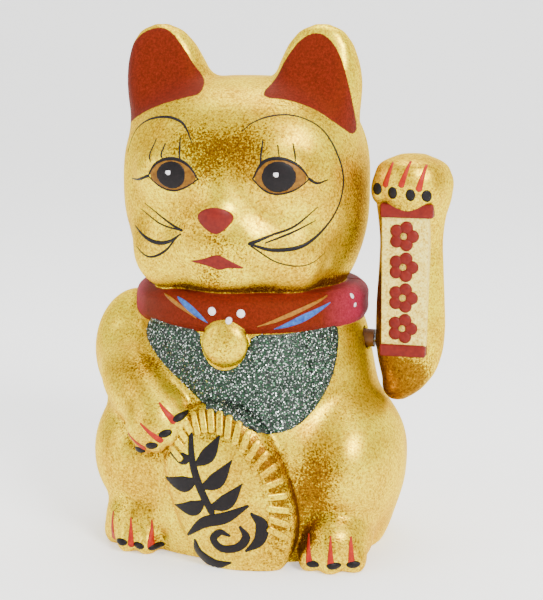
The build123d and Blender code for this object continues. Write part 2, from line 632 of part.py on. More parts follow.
def screw(x, y, length):
    """A pan-head self-tapping screw, driven up from under the base."""
    with BuildPart() as made:
        with Locations((x, y, HEAD_SUNK)):
            Cylinder(HEAD_R, HEAD_T, align=STANDING)
        fillet(made.edges().group_by(Axis.Z)[0], 0.5)
        with Locations((x, y, HEAD_SUNK + HEAD_T)):
            Cylinder(SCREW_R, length, align=STANDING)
        chamfer(made.edges().group_by(Axis.Z)[-1], 0.5)
        for size in ((2.8, 0.6), (0.6, 2.8)):
            with Locations((x, y, HEAD_SUNK)):
                Box(*size, 0.8, align=STANDING, mode=Mode.SUBTRACT)
    return made.part


with BuildPart() as base_screws:
    for x, y in BASE_SCREWS:
        add(screw(x, y, 9.0))

with BuildPart() as module_screws:
    for x, y in BOX_SCREWS + FRAME_SCREWS:
        add(screw(x, y, 7.0))

LEAD_R = 0.6


def lead(points):
    """An insulated lead along straight runs joined by arcs."""
    spots = [Vector(*p) for p in points]
    radii = []
    for before, at, after in zip(spots, spots[1:], spots[2:]):
        turn = radians((at - before).get_angle(after - at))
        shorter = min((at - before).length, (after - at).length)
        radii.append(0.45 * shorter / (sin(turn / 2) / cos(turn / 2)))
    print("lead bend radii", [round(r, 1) for r in radii])
    with BuildPart() as made:
        with BuildLine():
            path = FilletPolyline(*spots, radius=radii)
        with BuildSketch(Plane(origin=path @ 0, z_dir=path % 0)):
            Circle(LEAD_R)
        sweep(transition=Transition.ROUND)
    return made.part


RED_ROUTE = [
    (CELL_X, 31.4, 14.6), (CELL_X, 31.8, 20), (-7, 29, 24.5), (1, 24, 23), (7, 19.5, 18),
    (9.3, 14, 13.5), (9, 9, COIL_Z + 0.5),
]
BLACK_ROUTE = [
    (CELL_X, -31.4, 14.6), (CELL_X - 1, -31.8, 20), (-19, -27, 24), (-27, -19, 22), (-32, -10, 17),
    (SWITCH_X, -3.5, 12.5), (SWITCH_X, -2.5, 10.1),
]
BLUE_ROUTE = [
    (SWITCH_X, 2.5, 10.1), (SWITCH_X, 4, 14), (-29, 8, 20), (-21, 10, 24.5), (-10, 9, 25), (-1, 4, 22),
    (6, -3, 17), (9, -7, 12.5), (9.2, -8.5, COIL_Z + 0.3),
]

with BuildPart() as red_lead:
    add(lead(RED_ROUTE))

with BuildPart() as black_lead:
    add(lead(BLACK_ROUTE))

with BuildPart() as blue_lead:
    add(lead(BLUE_ROUTE))

for piece, name in (
    (base_plate, "base_plate"), (battery_door, "battery_door"), (battery_box, "battery_box"),
    (battery, "battery"), (positive_contact, "positive_contact"), (negative_spring, "negative_spring"),
    (negative_contact, "negative_contact"), (switch_body, "switch_body"), (switch_knob, "switch_knob"),
    (base_screws, "base_screws"), (module_screws, "module_screws"), (red_lead, "red_lead"),
    (black_lead, "black_lead"), (blue_lead, "blue_lead"),
):
    save(piece.part, name)
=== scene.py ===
# %% [markdown]
# # A beckoning cat with a swinging paw
# The figurine is 200 mm tall, blown or moulded in hard plastic, sprayed gold and finished by hand
# with a brush. Its engineering pieces (shaft, pendulum, coil, cell bay, base) come ready-made from
# the frame. This lesson models what the eye sees: the rounded cat, the paint on it, the raised arm
# and the finish of every piece. All sizes are written in millimetres and turned to metres once,
# when a mesh is made, because a moulder's drawing is in millimetres too.

# %% Load the frame
import math
import bmesh
import bpy
import numpy as np
import openvdb
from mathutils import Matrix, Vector
from mathutils.bvhtree import BVHTree
from mathutils.geometry import delaunay_2d_cdt


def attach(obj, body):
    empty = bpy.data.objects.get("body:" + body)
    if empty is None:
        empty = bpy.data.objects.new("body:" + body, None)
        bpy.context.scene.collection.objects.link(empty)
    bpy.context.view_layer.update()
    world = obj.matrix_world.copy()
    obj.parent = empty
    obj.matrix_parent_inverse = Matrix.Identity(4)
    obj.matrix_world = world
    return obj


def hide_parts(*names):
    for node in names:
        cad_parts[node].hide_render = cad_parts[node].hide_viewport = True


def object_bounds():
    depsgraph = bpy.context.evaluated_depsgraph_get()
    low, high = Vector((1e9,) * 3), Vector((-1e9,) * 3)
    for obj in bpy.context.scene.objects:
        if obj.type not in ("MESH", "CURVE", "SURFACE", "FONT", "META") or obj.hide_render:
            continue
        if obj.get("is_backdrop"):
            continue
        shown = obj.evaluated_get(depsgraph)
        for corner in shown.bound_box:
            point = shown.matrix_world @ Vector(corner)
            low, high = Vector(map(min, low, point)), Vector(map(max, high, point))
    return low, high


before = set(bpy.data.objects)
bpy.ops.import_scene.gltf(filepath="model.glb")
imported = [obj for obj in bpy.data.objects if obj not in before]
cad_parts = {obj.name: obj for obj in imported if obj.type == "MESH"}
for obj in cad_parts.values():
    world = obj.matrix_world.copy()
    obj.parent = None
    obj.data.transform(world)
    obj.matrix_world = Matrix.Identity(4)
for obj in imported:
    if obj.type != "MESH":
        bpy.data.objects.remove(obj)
CAD_BOX = [list(corner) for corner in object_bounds()]
MM = 0.001
print("frame box, mm:", [[round(v / MM, 1) for v in corner] for corner in CAD_BOX])

# %% [markdown]
# ## Camera, light and floor
# A figurine is shown on a pale sweep with large soft lamps, so that the gold shows broad
# gentle highlights. The camera stands a little to the cat's left and a little above it, far enough
# away that the ears and feet are not stretched.

# %% The camera
AIM = Vector((0, 0, 0.095))
AZIMUTH, ELEVATION, DISTANCE = math.radians(15), math.radians(10), 0.62
back = Vector((
    math.sin(AZIMUTH) * math.cos(ELEVATION), -math.cos(AZIMUTH) * math.cos(ELEVATION), math.sin(ELEVATION)
))
camera = bpy.data.objects.new("camera", bpy.data.cameras.new("camera"))
camera.data.lens, camera.data.sensor_width = 94.7, 36.0
camera.data.shift_x, camera.data.shift_y = 0.031, -0.010
camera.data.clip_start = 0.01
camera.location = AIM + back * DISTANCE
camera.rotation_euler = back.to_track_quat("Z", "Y").to_euler()
bpy.context.scene.collection.objects.link(camera)
bpy.context.scene.camera = camera
print("camera at", [round(v, 3) for v in camera.location])


# %% [markdown]
# ## A small helper for materials
# A material here is a handful of shader nodes. One function adds a node, sets its values and makes
# its links, so that each finish below reads as a short list. Colours are written as the hex values
# that a painter would pick on a screen, and one function turns them to the linear values that
# Blender computes with.

# %% Nodes and colours
def tint(code):
    """A linear colour from an sRGB hex code."""
    parts = [int(code[i:i + 2], 16) / 255 for i in (0, 2, 4)]
    return tuple(c / 12.92 if c <= 0.04045 else ((c + 0.055) / 1.055) ** 2.4 for c in parts) + (1.0,)


def node(tree, kind, links=None, values=None, stops=(), **settings):
    """Add one node, with its settings, its socket values, a ramp's colour stops and the links into it."""
    made = tree.nodes.new(kind)
    for i, (place, code) in enumerate(stops):
        if i >= len(made.color_ramp.elements):
            made.color_ramp.elements.new(place)
        made.color_ramp.elements[i].position = place
        made.color_ramp.elements[i].color = tint(code)
    for key, value in settings.items():
        setattr(made, key, value)
    return feed(made, links, values)


def feed(made, links=None, values=None):
    """Set a node's socket values and the links into it."""
    for key, value in (values or {}).items():
        made.inputs[key].default_value = value
    for key, source in (links or {}).items():
        made.id_data.links.new(source, made.inputs[key])
    return made


def blank(name):
    """A new material, its node tree, its principled shader and the place on the piece, in metres."""
    material = bpy.data.materials.new(name)
    material.use_nodes = True
    tree = material.node_tree
    return material, tree, tree.nodes["Principled BSDF"], node(tree, "ShaderNodeTexCoord").outputs["Object"]


def per_mm(size):
    """The scale of a pattern whose features are this many millimetres across."""
    return 1.0 / (size * MM)


# %% Floor and lamps
floor_material, tree, shader, where = blank("matt_paper_sweep")
speckle = node(tree, "ShaderNodeTexNoise", {"Vector": where}, {"Scale": per_mm(16), "Detail": 4.0})
paper = node(tree, "ShaderNodeValToRGB", {"Fac": speckle.outputs["Fac"]},
             stops=[(0.0, "F6F6F5"), (1.0, "FBFBFA")])
# the sweep is thin enough to be lit from behind as well, so it comes out nearly white
feed(shader, {"Base Color": paper.outputs["Color"]},
     {"Roughness": 0.9, "Emission Color": tint("FFFFFF"), "Emission Strength": 0.55})

# in metres: where the paper starts to rise, the radius of its bend, and its reach each way
RISE_Y, BEND_R, BEND_STEPS, HALF_WIDTH, FRONT_Y, TOP_Z = 1.2, 0.5, 24, 4.0, -3.0, 3.0
sweep = bmesh.new()
bend = []
for step in range(BEND_STEPS + 1):
    turn = math.radians(90) * step / BEND_STEPS
    bend.append((RISE_Y + BEND_R * math.sin(turn), BEND_R - BEND_R * math.cos(turn)))
profile = [(FRONT_Y, 0.0)] + bend + [(RISE_Y + BEND_R, TOP_Z)]
ends = [[sweep.verts.new((x, y, z)) for y, z in profile] for x in (-HALF_WIDTH, HALF_WIDTH)]
for i in range(len(profile) - 1):
    sweep.faces.new((ends[0][i], ends[1][i], ends[1][i + 1], ends[0][i + 1]))
floor_mesh = bpy.data.meshes.new("paper_sweep")
sweep.to_mesh(floor_mesh)
sweep.free()
for face in floor_mesh.polygons:
    face.use_smooth = True
floor = bpy.data.objects.new("paper_sweep", floor_mesh)
floor_mesh.materials.append(floor_material)
bpy.context.scene.collection.objects.link(floor)
floor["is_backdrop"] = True

world = bpy.data.worlds.new("studio")
bpy.context.scene.world = world
world.use_nodes = True
feed(world.node_tree.nodes["Background"], values={"Color": tint("FFFFFF"), "Strength": 1.15})
for name, place, size, power in (
    ("key_softbox", (0.75, -0.75, 0.85), 0.4, 22.0),
    ("fill_softbox", (-0.9, -0.7, 0.5), 0.7, 5.0),
    ("top_softbox", (0.0, 0.2, 1.1), 0.7, 8.0),
):
    lamp = bpy.data.lights.new(name, "AREA")
    lamp.size, lamp.energy = size, power
    holder = bpy.data.objects.new(name, lamp)
    holder.location = place
    holder.rotation_euler = (Vector(place) - AIM).to_track_quat("Z", "Y").to_euler()
    bpy.context.scene.collection.objects.link(holder)
print("lamps:", len(bpy.data.lights))

# %% [markdown]
# ## Modelling clay made of distances
# The cat is all soft lobes that flow into each other: head, cheeks, thighs, feet. It could be
# sculpted by hand, or built from metaballs. Here it is a distance field: for each point of a block
# of space we keep the distance to the nearest surface, less than zero inside. Two forms are joined
# by the smaller of their distances, and a soft join rounds the crease by a radius of our choice,
# just as a thumb does in clay. A hollow wall is the same field again, a wall's thickness further in.


# %% The block of distances
class Clay:
    """Distances in millimetres on a regular block of points."""

    def __init__(self, low, high, step):
        self.low, self.step = np.array(low, float), step
        self.size = [int(round((b - a) / step)) + 1 for a, b in zip(low, high)]
        self.far = np.full(self.size, 40.0, np.float32)

    def points(self, low=None, high=None):
        """The slice of the block between two corners, and its x, y and z values."""
        low = self.low if low is None else low
        high = self.low + self.step * np.array(self.size) if high is None else high
        first = [max(0, int((a - o) / self.step)) for a, o in zip(low, self.low)]
        last = [min(n, int((b - o) / self.step) + 2) for b, o, n in zip(high, self.low, self.size)]
        spans = [np.arange(a, b) * self.step + o for a, b, o in zip(first, last, self.low)]
        grid = np.meshgrid(*[s.astype(np.float32) for s in spans], indexing="ij", sparse=True)
        return tuple(slice(a, b) for a, b in zip(first, last)), grid

    def near(self, form, soft):
        """The part of the block near a form, the distances kept there and those to the form."""
        shape, low, high = form
        margin = soft + 2 * self.step
        where, grid = self.points([v - margin for v in low], [v + margin for v in high])
        return where, self.far[where], shape(*grid)

    def join(self, form, soft):
        """Add a form, with a rounded crease where it meets what is there."""
        where, old, new = self.near(form, soft)
        self.far[where] = np.minimum(old, new) - np.maximum(soft - np.abs(old - new), 0) ** 2 / (4 * soft)

    def cut(self, form, soft):
        """Take a form away, with a rounded edge."""
        where, old, new = self.near(form, soft)
        self.far[where] = np.maximum(old, -new) + np.maximum(soft - np.abs(old + new), 0) ** 2 / (4 * soft)

    def at(self, places):
        """Distances at any places, by mixing the eight nearest points."""
        spot = (np.asarray(places) - self.low) / self.step
        spot = np.clip(spot, 0, np.array(self.size) - 1.001)
        whole = spot.astype(int)
        part = spot - whole
        total = 0
        for corner in np.ndindex(2, 2, 2):
            share = np.prod(np.where(corner, part, 1 - part), axis=1)
            i, j, k = (whole + corner).T
            total = total + share * self.far[i, j, k]
        return total


# %% [markdown]
# Three kinds of lump are enough for the cat. A lobe is a stretched ball, with an optional power
# that makes it boxier. A column is a pile of level ovals with a smooth profile, for the torso and
# ears. A trail is a round bar along a line of points, for grooves and the tail.

# %% Lumps of clay
def lobe(centre, radii, lean=(0, 0, 1), power=2.0):
    """A rounded lobe: its third radius lies along lean."""
    up = Vector(lean).normalized()
    side = (Vector((1, 0, 0)) - up * up.x).normalized()
    turn = [side, up.cross(side), up]
    reach = max(radii)

    def shape(x, y, z):
        p = [(x - centre[0]) * a.x + (y - centre[1]) * a.y + (z - centre[2]) * a.z for a in turn]
        q = [np.abs(v) / r for v, r in zip(p, radii)]
        k = np.maximum(sum(v ** power for v in q), 1e-6) ** (1 / power)
        slope = [(v / k) ** (power - 1) / r for v, r in zip(q, radii)]
        return (k - 1) / np.sqrt(sum(s * s for s in slope))

    return shape, [c - reach for c in centre], [c + reach for c in centre]


def smooth_steps(heights, values, z):
    """A smooth curve through the values given at some heights."""
    heights, values = np.array(heights, float), np.array(values, float)
    slopes = np.gradient(values, heights)
    i = np.clip(np.searchsorted(heights, z) - 1, 0, len(heights) - 2)
    gap = heights[i + 1] - heights[i]
    t = np.clip((z - heights[i]) / gap, 0, 1)
    a, b = values[i], values[i + 1]
    return (
        a * (1 + 2 * t) * (1 - t) ** 2 + b * t * t * (3 - 2 * t)
        + gap * (slopes[i] * t * (1 - t) ** 2 - slopes[i + 1] * t * t * (1 - t))
    )


def column(ovals):
    """A pile of level ovals: (height, centre x, centre y, half width, half depth)."""
    rows = list(zip(*ovals))
    heights = rows[0]

    def shape(x, y, z):
        cx, cy, a, b = (smooth_steps(heights, row, z) for row in rows[1:])
        above = smooth_steps(heights, rows[3], z + 1.0)
        below = smooth_steps(heights, rows[3], z - 1.0)
        p, q = (x - cx) / a, (y - cy) / b
        k = np.sqrt(p * p + q * q + 1e-3)
        side = (k - 1) * k / np.sqrt((p / a) ** 2 + (q / b) ** 2 + 1e-9)
        side = side / np.sqrt(1 + np.minimum(np.abs(above - below) / 2, 3) ** 2)
        beyond = np.maximum(z - heights[-1], heights[0] - z)
        outside = np.sqrt(np.maximum(side, 0) ** 2 + beyond ** 2)
        return np.where(beyond > 0, outside, np.maximum(side, beyond))

    wide = max(abs(r[1]) + r[3] for r in ovals)
    deep = max(abs(r[2]) + r[4] for r in ovals)
    return shape, [-wide, -deep, heights[0]], [wide, deep, heights[-1]]


def trail(spots, radii):
    """A round bar through a line of points, with a radius at each."""

    def shape(x, y, z):
        best = None
        for a, b, ra, rb in zip(spots, spots[1:], radii, radii[1:]):
            d = [q - p for p, q in zip(a, b)]
            length = sum(v * v for v in d)
            t = ((x - a[0]) * d[0] + (y - a[1]) * d[1] + (z - a[2]) * d[2]) / length
            t = np.clip(t, 0, 1)
            off = [(v - p - t * w) ** 2 for v, p, w in zip((x, y, z), a, d)]
            gap = np.sqrt(off[0] + off[1] + off[2]) - (ra + t * (rb - ra))
            best = gap if best is None else np.minimum(best, gap)
        return best

    reach = max(radii)
    return (
        shape, [min(s[i] for s in spots) - reach for i in range(3)],
        [max(s[i] for s in spots) + reach for i in range(3)],
    )


# %% [markdown]
# ## The cat's body
# The real body is two mouldings glued at a seam just behind the ears. The big masses come first:
# torso, head, thighs, shoulder. They set the wall too, because a moulder hollows only the masses,
# while small relief such as the nose, the paws and the oval coin stays solid on the outside.

# %% The big masses
WALL, SEAM_Y = 2.5, 8.0
cat = Clay((-68, -67, -6), (70, 64, 211), 0.9)
TORSO = [
    (-8, 1, 0, 48, 39), (0, 1, 0, 52, 43), (6, 1, 0, 54.6, 45.8), (25, 2, 0, 57, 47), (45, 2, 0, 56, 47),
    (60, 0, 0, 50.5, 44.5), (75, 0, 0, 47, 42.5), (88, 0, 0, 43.5, 39.5), (98, 0, 0, 36, 33),
    (108, 0, 0, 30, 27),
]
EAR = [
    (152, 26.6, -4.5, 14.6, 14), (156, 27, -5, 15.5, 15), (170, 28.2, -6, 17, 16.5),
    (180, 29.3, -6.5, 16.3, 15.5), (188, 30.2, -8, 14, 12), (194, 30.8, -9, 10.8, 9),
    (198, 31.1, -9.5, 6.4, 5.6), (199.6, 31.2, -9.5, 2.4, 2.4),
]
HEAD = [
    (92, -1, 0, 28, 25), (99, -1, 0, 35, 31), (105, -1.5, 0, 40, 35.5), (113, -2, 0, 44, 39.2),
    (124, -2, 0, 46.8, 42), (137, -2, 0, 47.4, 42.6), (148, -2, 0, 46.6, 41.6), (158, -2, 0, 43, 38),
]
EAR_LEAN = Vector((0, -40, 7)).normalized()
HEAD_X = -2.0


def ear(side):
    """One ear: a horn whose front is shaved off nearly flat."""
    whole, low, high = column([(z, HEAD_X + side * x, y, a, b) for z, x, y, a, b in EAR])

    def shape(x, y, z):
        front = (y + 17.5) * EAR_LEAN.y + (z - 180) * EAR_LEAN.z
        horn = whole(x, y, z)
        return np.maximum(horn, front) + np.maximum(2.5 - np.abs(horn - front), 0) ** 2 / 10

    return shape, low, high


cat.join(column(TORSO), 0.5)
cat.join(lobe((43, -12, 35), (20, 31, 27)), 7)
cat.join(lobe((-38.5, -12, 35), (21, 31, 27)), 7)
cat.join(lobe((-46, -4, 72), (17, 20, 24)), 7)
head = Clay(cat.low, cat.low + cat.step * (np.array(cat.size) - 1), cat.step)
head.join(column(HEAD), 0.5)
head.join(lobe((HEAD_X, 0, 140), (46.6, 42.0, 40.2), power=2.6), 1.0)
for side in (1, -1):
    head.join(ear(side), 5)
cat.far = np.minimum(cat.far, head.far)
masses = cat.far.copy()
print("block of", cat.far.size // 1000, "thousand distances")

# %% [markdown]
# The face is the part that people look at, so it gets the most thumb work: soft cheeks, a broad
# muzzle, a nose bridge, shallow sockets round the eyes and a small chin. Each is a low lobe joined
# with a wide crease, so that no edge shows.

# %% The face
cat.join(lobe((HEAD_X, -29, 119), (24, 16.5, 19)), 8)
cat.join(lobe((HEAD_X, -38, 131), (8, 7, 14)), 9)
for side in (1, -1):
    cat.join(lobe((HEAD_X + side * 9.5, -38.5, 120.5), (9, 7, 7.5)), 6)
    cat.join(lobe((HEAD_X + side * 23, -27, 116), (14, 13, 15)), 6)
    cat.join(lobe((HEAD_X + side * 20.5, -35.5, 147), (11, 6.5, 8)), 8)
    socket = [(HEAD_X + side * x, y, z) for x, y, z in ((8, -47.5, 155), (20, -46.5, 159), (32, -39, 157))]
    cat.cut(trail(socket, [2.0, 2.5, 1.5]), 6)
cat.join(lobe((HEAD_X, -37.5, 109.5), (10, 6, 5)), 6)
cat.join(lobe((HEAD_X, -45.2, 131), (6.4, 3.4, 4.8)), 2.5)
cat.cut(trail([(HEAD_X, -48.4, 126), (HEAD_X, -48.6, 120)], [0.9, 0.7]), 1.5)
lip = [(-12, -46.2, 114.2), (-6, -48.2, 115.2), (-2, -48.6, 116.6), (2, -48.2, 115.2), (8, -46.2, 114.2)]
cat.cut(trail(lip, [0.5, 0.8, 0.8, 0.8, 0.5]), 1.2)
print("face:", round(float(cat.at([(HEAD_X, -45, 119)])[0]), 2), "mm at the muzzle")

# %% [markdown]
# The limbs follow. The left forearm (on the viewer's left) comes down from the shoulder and its
# paw steadies the coin. Toes are small lobes joined to the feet and the paw.

# %% Forearm, paws and feet
cat.join(lobe((-35.5, -33, 63.5), (13, 13, 27), (26, -30, -16)), 6)
cat.join(lobe((-24, -48, 54.5), (12, 9, 10.5), (26, -20, -24)), 4)
cat.join(lobe((-37, -25, 10), (15, 18, 14)), 4)
cat.join(lobe((41, -30, 9.5), (13.5, 18, 12.5)), 4)
for x, y in ((-47, -33), (-39, -42), (-31, -43)):
    cat.join(lobe((x, y + 3.2, 4.2), (4.6, 6.0, 5.4)), 3)
for x, y in ((33.5, -45.5), (41.5, -47), (49.5, -43)):
    cat.join(lobe((x, y + 3.2, 4.2), (4.6, 5.6, 5.4)), 3)
for x, y, z in ((-14.5, -53.5, 54), (-18, -55, 49.5), (-23, -54.8, 46), (-28.5, -52, 44.5)):
    cat.join(lobe((x, y + 3.5, z + 1.5), (4.0, 4.6, 4.6)), 2)
print("limbs done")

# %% [markdown]
# The oval coin leans against the belly, with a raised rim of ribs round its edge, the collar is a
# rolled band below the chin, and a round bell hangs from it. Their edges are crisp, so their
# creases are narrow.

# %% Coin, collar, bell and tail
COIN_AT, COIN_R, COIN_LEAN = (3.5, -45, 28), (23, 10.5, 35), (-0.36, 0, 1)
COIN_COS, COIN_SIN = 0.941, 0.339       # of the 19.8 degrees by which it leans
COIN = lobe(COIN_AT, COIN_R, COIN_LEAN, 2.3)
COIN_RIBS = 38
COLLAR = [
    (86.5, 0, 0, 41.5, 39), (88.5, 0, 0, 44.2, 41.6), (94, 0, 0, 45.4, 42.8),
    (99.5, 0, 0, 44.4, 41.8), (101.5, 0, 0, 42, 39.5),
]
cat.join(COIN, 1.6)
cat.join(column(COLLAR), 1.4)
cat.join(lobe((0.6, -42.4, 83.8), (8.8, 4.2, 8.8)), 1.0)
tail_line = [
    (40 * math.cos(a), 24 + 22 * math.sin(a), 12 + 3 * math.sin(a))
    for a in map(math.radians, range(0, 181, 15))
]
cat.join(trail(tail_line, [7] * 10 + [6.6, 6, 5]), 4)
print("relief done")

# %% [markdown]
# ## From clay to two shells
# The field is cut where the moulder cuts it: flat underneath, hollow inside, split at the seam,
# opened for the base plate and bored for the arm's shaft. A mesh is then drawn through the zero
# distance of each half. The inner wall is never seen up close, so it is thinned, which leaves the
# triangles for the outside.

# %% Meshes from clay
def surface(clay, field):
    """Points and faces of the zero surface of a field, facing outwards."""
    grid = openvdb.FloatGrid(background=40.0)
    grid.copyFromArray(np.ascontiguousarray(field, dtype=np.float32))
    spots, _, quads = grid.convertToPolygons(isovalue=0.0, adaptivity=0.0)
    spots = spots * clay.step + clay.low
    a, b, c = (spots[quads[:, i]] for i in (0, 1, 2))
    if np.sum(np.cross(b - a, c - a) * a) < 0:
        quads = quads[:, ::-1]
    return spots, quads


def piece(name, spots, faces, material, body, slot, stands_for=()):
    """A finished object from points in millimetres: mesh, material and body."""
    mesh = bpy.data.meshes.new(name)
    mesh.from_pydata((np.asarray(spots) * MM).tolist(), [], [list(map(int, f)) for f in faces])
    mesh.update()
    mesh.polygons.foreach_set("use_smooth", [True] * len(mesh.polygons))
    made = bpy.data.objects.new(name, mesh)
    bpy.context.scene.collection.objects.link(made)
    mesh.materials.append(material)
    finish_piece(made, body, slot, stands_for)
    return made


def finish_piece(made, body, slot, stands_for=()):
    """Say which body a piece moves with and which node it stands for; its slot is not used."""
    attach(made, body)
    if stands_for:
        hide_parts(*stands_for)


def thinned(made, chosen, keep):
    """Thin the chosen points of a piece to a share of their triangles."""
    group = made.vertex_groups.new(name="thin")
    group.add([int(i) for i in np.nonzero(chosen)[0]], 1.0, "REPLACE")
    thin = made.modifiers.new("thin", "DECIMATE")
    thin.ratio = 1 - np.mean(chosen) * (1 - keep)
    thin.vertex_group, thin.use_collapse_triangulate = "thin", True
    mesh = bpy.data.meshes.new_from_object(made.evaluated_get(bpy.context.evaluated_depsgraph_get()))
    made.modifiers.clear()
    made.vertex_groups.clear()
    old, made.data = made.data, mesh
    bpy.data.meshes.remove(old)
    mesh.name = made.name
    mesh.polygons.foreach_set("use_smooth", [True] * len(mesh.polygons))


def places(made):
    """A piece's points and normals, in millimetres."""
    count = len(made.data.vertices)
    spots, normals = np.empty(count * 3), np.empty(count * 3)
    made.data.vertices.foreach_get("co", spots)
    made.data.vertex_normals.foreach_get("vector", normals)
    return spots.reshape(-1, 3) / MM, normals.reshape(-1, 3)


def note(mesh, name, values):
    """Keep one number or one direction per point, for a material or a tree to read."""
    values = np.asarray(values, np.float32)
    kind, field = ("FLOAT", "value") if values.ndim == 1 else ("FLOAT_VECTOR", "vector")
    mesh.attributes.new(name, kind, "POINT").data.foreach_set(field, values.ravel())


# %% Cut the body into its two shells
PLATE_T, LEDGE_T = 2.5, 2.0                  # the base plate, and the ledge that it screws up to
SHAFT_Z, BORE_R, BORE_X = 80, 4.6, 36        # the arm's shaft, and the bore that lets it out
SCREW_X, SCREW_Y, BOSS_R, PILOT_R, BOSS_TOP = 33, 22, 3.5, 1.25, 15.5
gold, gold_tree, gold_shader, gold_place = blank("sprayed_gold_paint_on_abs")
_, (gx, gy, gz) = cat.points()


def well(half_width, half_depth, scale, top):
    """An upright oval hole from below, as high as top."""
    return np.maximum((np.sqrt((gx / half_width) ** 2 + (gy / half_depth) ** 2) - 1) * scale, gz - top)


hollow = np.maximum(masses + WALL, PLATE_T + LEDGE_T - gz)
shoulder_bore = np.maximum(np.sqrt(gy ** 2 + (gz - SHAFT_Z) ** 2) - BORE_R, BORE_X - gx)
walls = cat.far
for empty in (hollow, well(46.2, 39.2, 39, PLATE_T), well(43, 36, 36, PLATE_T + LEDGE_T), shoulder_bore):
    walls = np.maximum(walls, -empty)
for x, y in ((SCREW_X, SCREW_Y), (-SCREW_X, SCREW_Y), (SCREW_X, -SCREW_Y), (-SCREW_X, -SCREW_Y)):
    from_axis = np.sqrt((gx - x) ** 2 + (gy - y) ** 2)
    boss = np.maximum(from_axis - BOSS_R, np.maximum(PLATE_T - gz, gz - BOSS_TOP))
    walls = np.maximum(np.minimum(walls, boss), -np.maximum(from_axis - PILOT_R, gz - BOSS_TOP))
shells = {}
for name, side, stood in (
    ("body_front", gy - SEAM_Y, "front_shell"), ("body_back", SEAM_Y - gy, "rear_shell"),
):
    spots, quads = surface(cat, np.maximum(np.maximum(walls, side), -gz))
    made = piece(name, spots, quads, gold, "housing", "gold_paint", (stood,))
    deep = cat.at(spots) < -1.2
    thinned(made, deep & (spots[:, 2] > 6), 0.15)
    shells[name] = made
    print(name, len(quads) * 2, "triangles, thinned to", sum(len(f.vertices) - 2 for f in made.data.polygons))

# %% [markdown]
# ## The raised arm
# The arm is a moulding of its own, glued from a front and a back half, and it rides on the steel
# shaft. It is modelled in finer clay than the body because it is small: a slim column for the
# forearm, a rounded paw that bends forward at the top, and four toes.

# %% The arm's clay
ARM_WALL, ARM_SEAM_Y = 2.0, 5.0
HUB_R, HUB_LOW_X, HUB_HIGH_X, HOLE_R, HOLE_X = 4.0, 49.6, 66, 1.5, 64.5
arm = Clay((44, -24, 52), (82, 18, 156), 0.6)
ARM = [
    (57.5, 58.5, -3, 3, 3), (60, 59.5, -3, 6, 6), (66, 61.8, -2, 9.5, 10), (74, 62.5, -1, 12.2, 12.5),
    (84, 62.6, 0, 13.2, 14), (95, 62.5, 0, 13, 13.2), (108, 62.5, 0, 12.3, 12.4),
    (120, 62.5, -0.5, 12, 12), (128, 62.8, -2, 12.8, 13), (136, 63.5, -3, 14.3, 15),
    (144, 63.5, -3.5, 14.2, 14.8), (149, 63, -3.5, 11, 12), (151.6, 63, -3.5, 5, 6),
]
arm.join(column(ARM), 0.5)
arm.join(lobe((62.6, -11, 142), (12.4, 8.8, 8.6)), 4)
arm_masses = arm.far.copy()
TOES = ((52.5, -14.5), (58.8, -17.2), (65.8, -17.3), (72.0, -15.2))
for x, y in TOES:
    arm.join(lobe((x, y + 3.4, 138.5), (3.7, 5.0, 5.2)), 1.8)
_, (ax, ay, az) = arm.points()
arm_walls = np.maximum(arm.far, -(arm_masses + ARM_WALL))
from_shaft = np.sqrt(ay ** 2 + (az - SHAFT_Z) ** 2)
hub = np.maximum(from_shaft - HUB_R, np.maximum(HUB_LOW_X - ax, ax - HUB_HIGH_X))
shaft_hole = np.maximum(from_shaft - HOLE_R, ax - HOLE_X)
arm_walls = np.maximum(np.minimum(arm_walls, hub), -shaft_hole)
for name, side, stood in (
    ("arm_front", ay - ARM_SEAM_Y, "arm_front_shell"), ("arm_back", ARM_SEAM_Y - ay, "arm_back_shell"),
):
    spots, quads = surface(arm, np.maximum(arm_walls, side))
    shells[name] = piece(name, spots, quads, gold, "arm", "gold_paint", (stood,))
    print(name, 2 * len(quads), "triangles")

# %% [markdown]
# ## Paint that lies on a curved surface
# The whiskers, eyes and claws are painted with a brush, and the glitter bib is glue with glitter in
# it: each is a thin film on the skin. A texture would blur at this size, so each film is a real
# sheet. Its outline is drawn flat, filled with small triangles, and dropped onto the skin along
# rays. The middle stands a little prouder than the edge, as a brushed stroke does.

# %% Skins to paint on
def skin(*names):
    """A search tree of the outer faces of some pieces, in millimetres."""
    spots, faces = [], []
    for name in names:
        made = shells[name]
        base = len(spots)
        spots += [tuple(v.co / MM) for v in made.data.vertices]
        faces += [[base + i for i in f.vertices] for f in made.data.polygons]
    return BVHTree.FromPolygons(spots, faces)


body_skin, arm_skin = skin("body_front", "body_back"), skin("arm_front", "arm_back")
FACE_R = 45.0


def on_head(s, z):
    """A ray at the head: s is millimetres round from the middle of the face, z is the height."""
    turn = s / FACE_R
    out = Vector((math.sin(turn), -math.cos(turn), 0))
    return Vector((HEAD_X, 0, z)) + out * 90, -out


def from_front(x, z):
    """A ray that comes straight at the cat from the front."""
    return Vector((x, -120, z)), Vector((0, 1, 0))


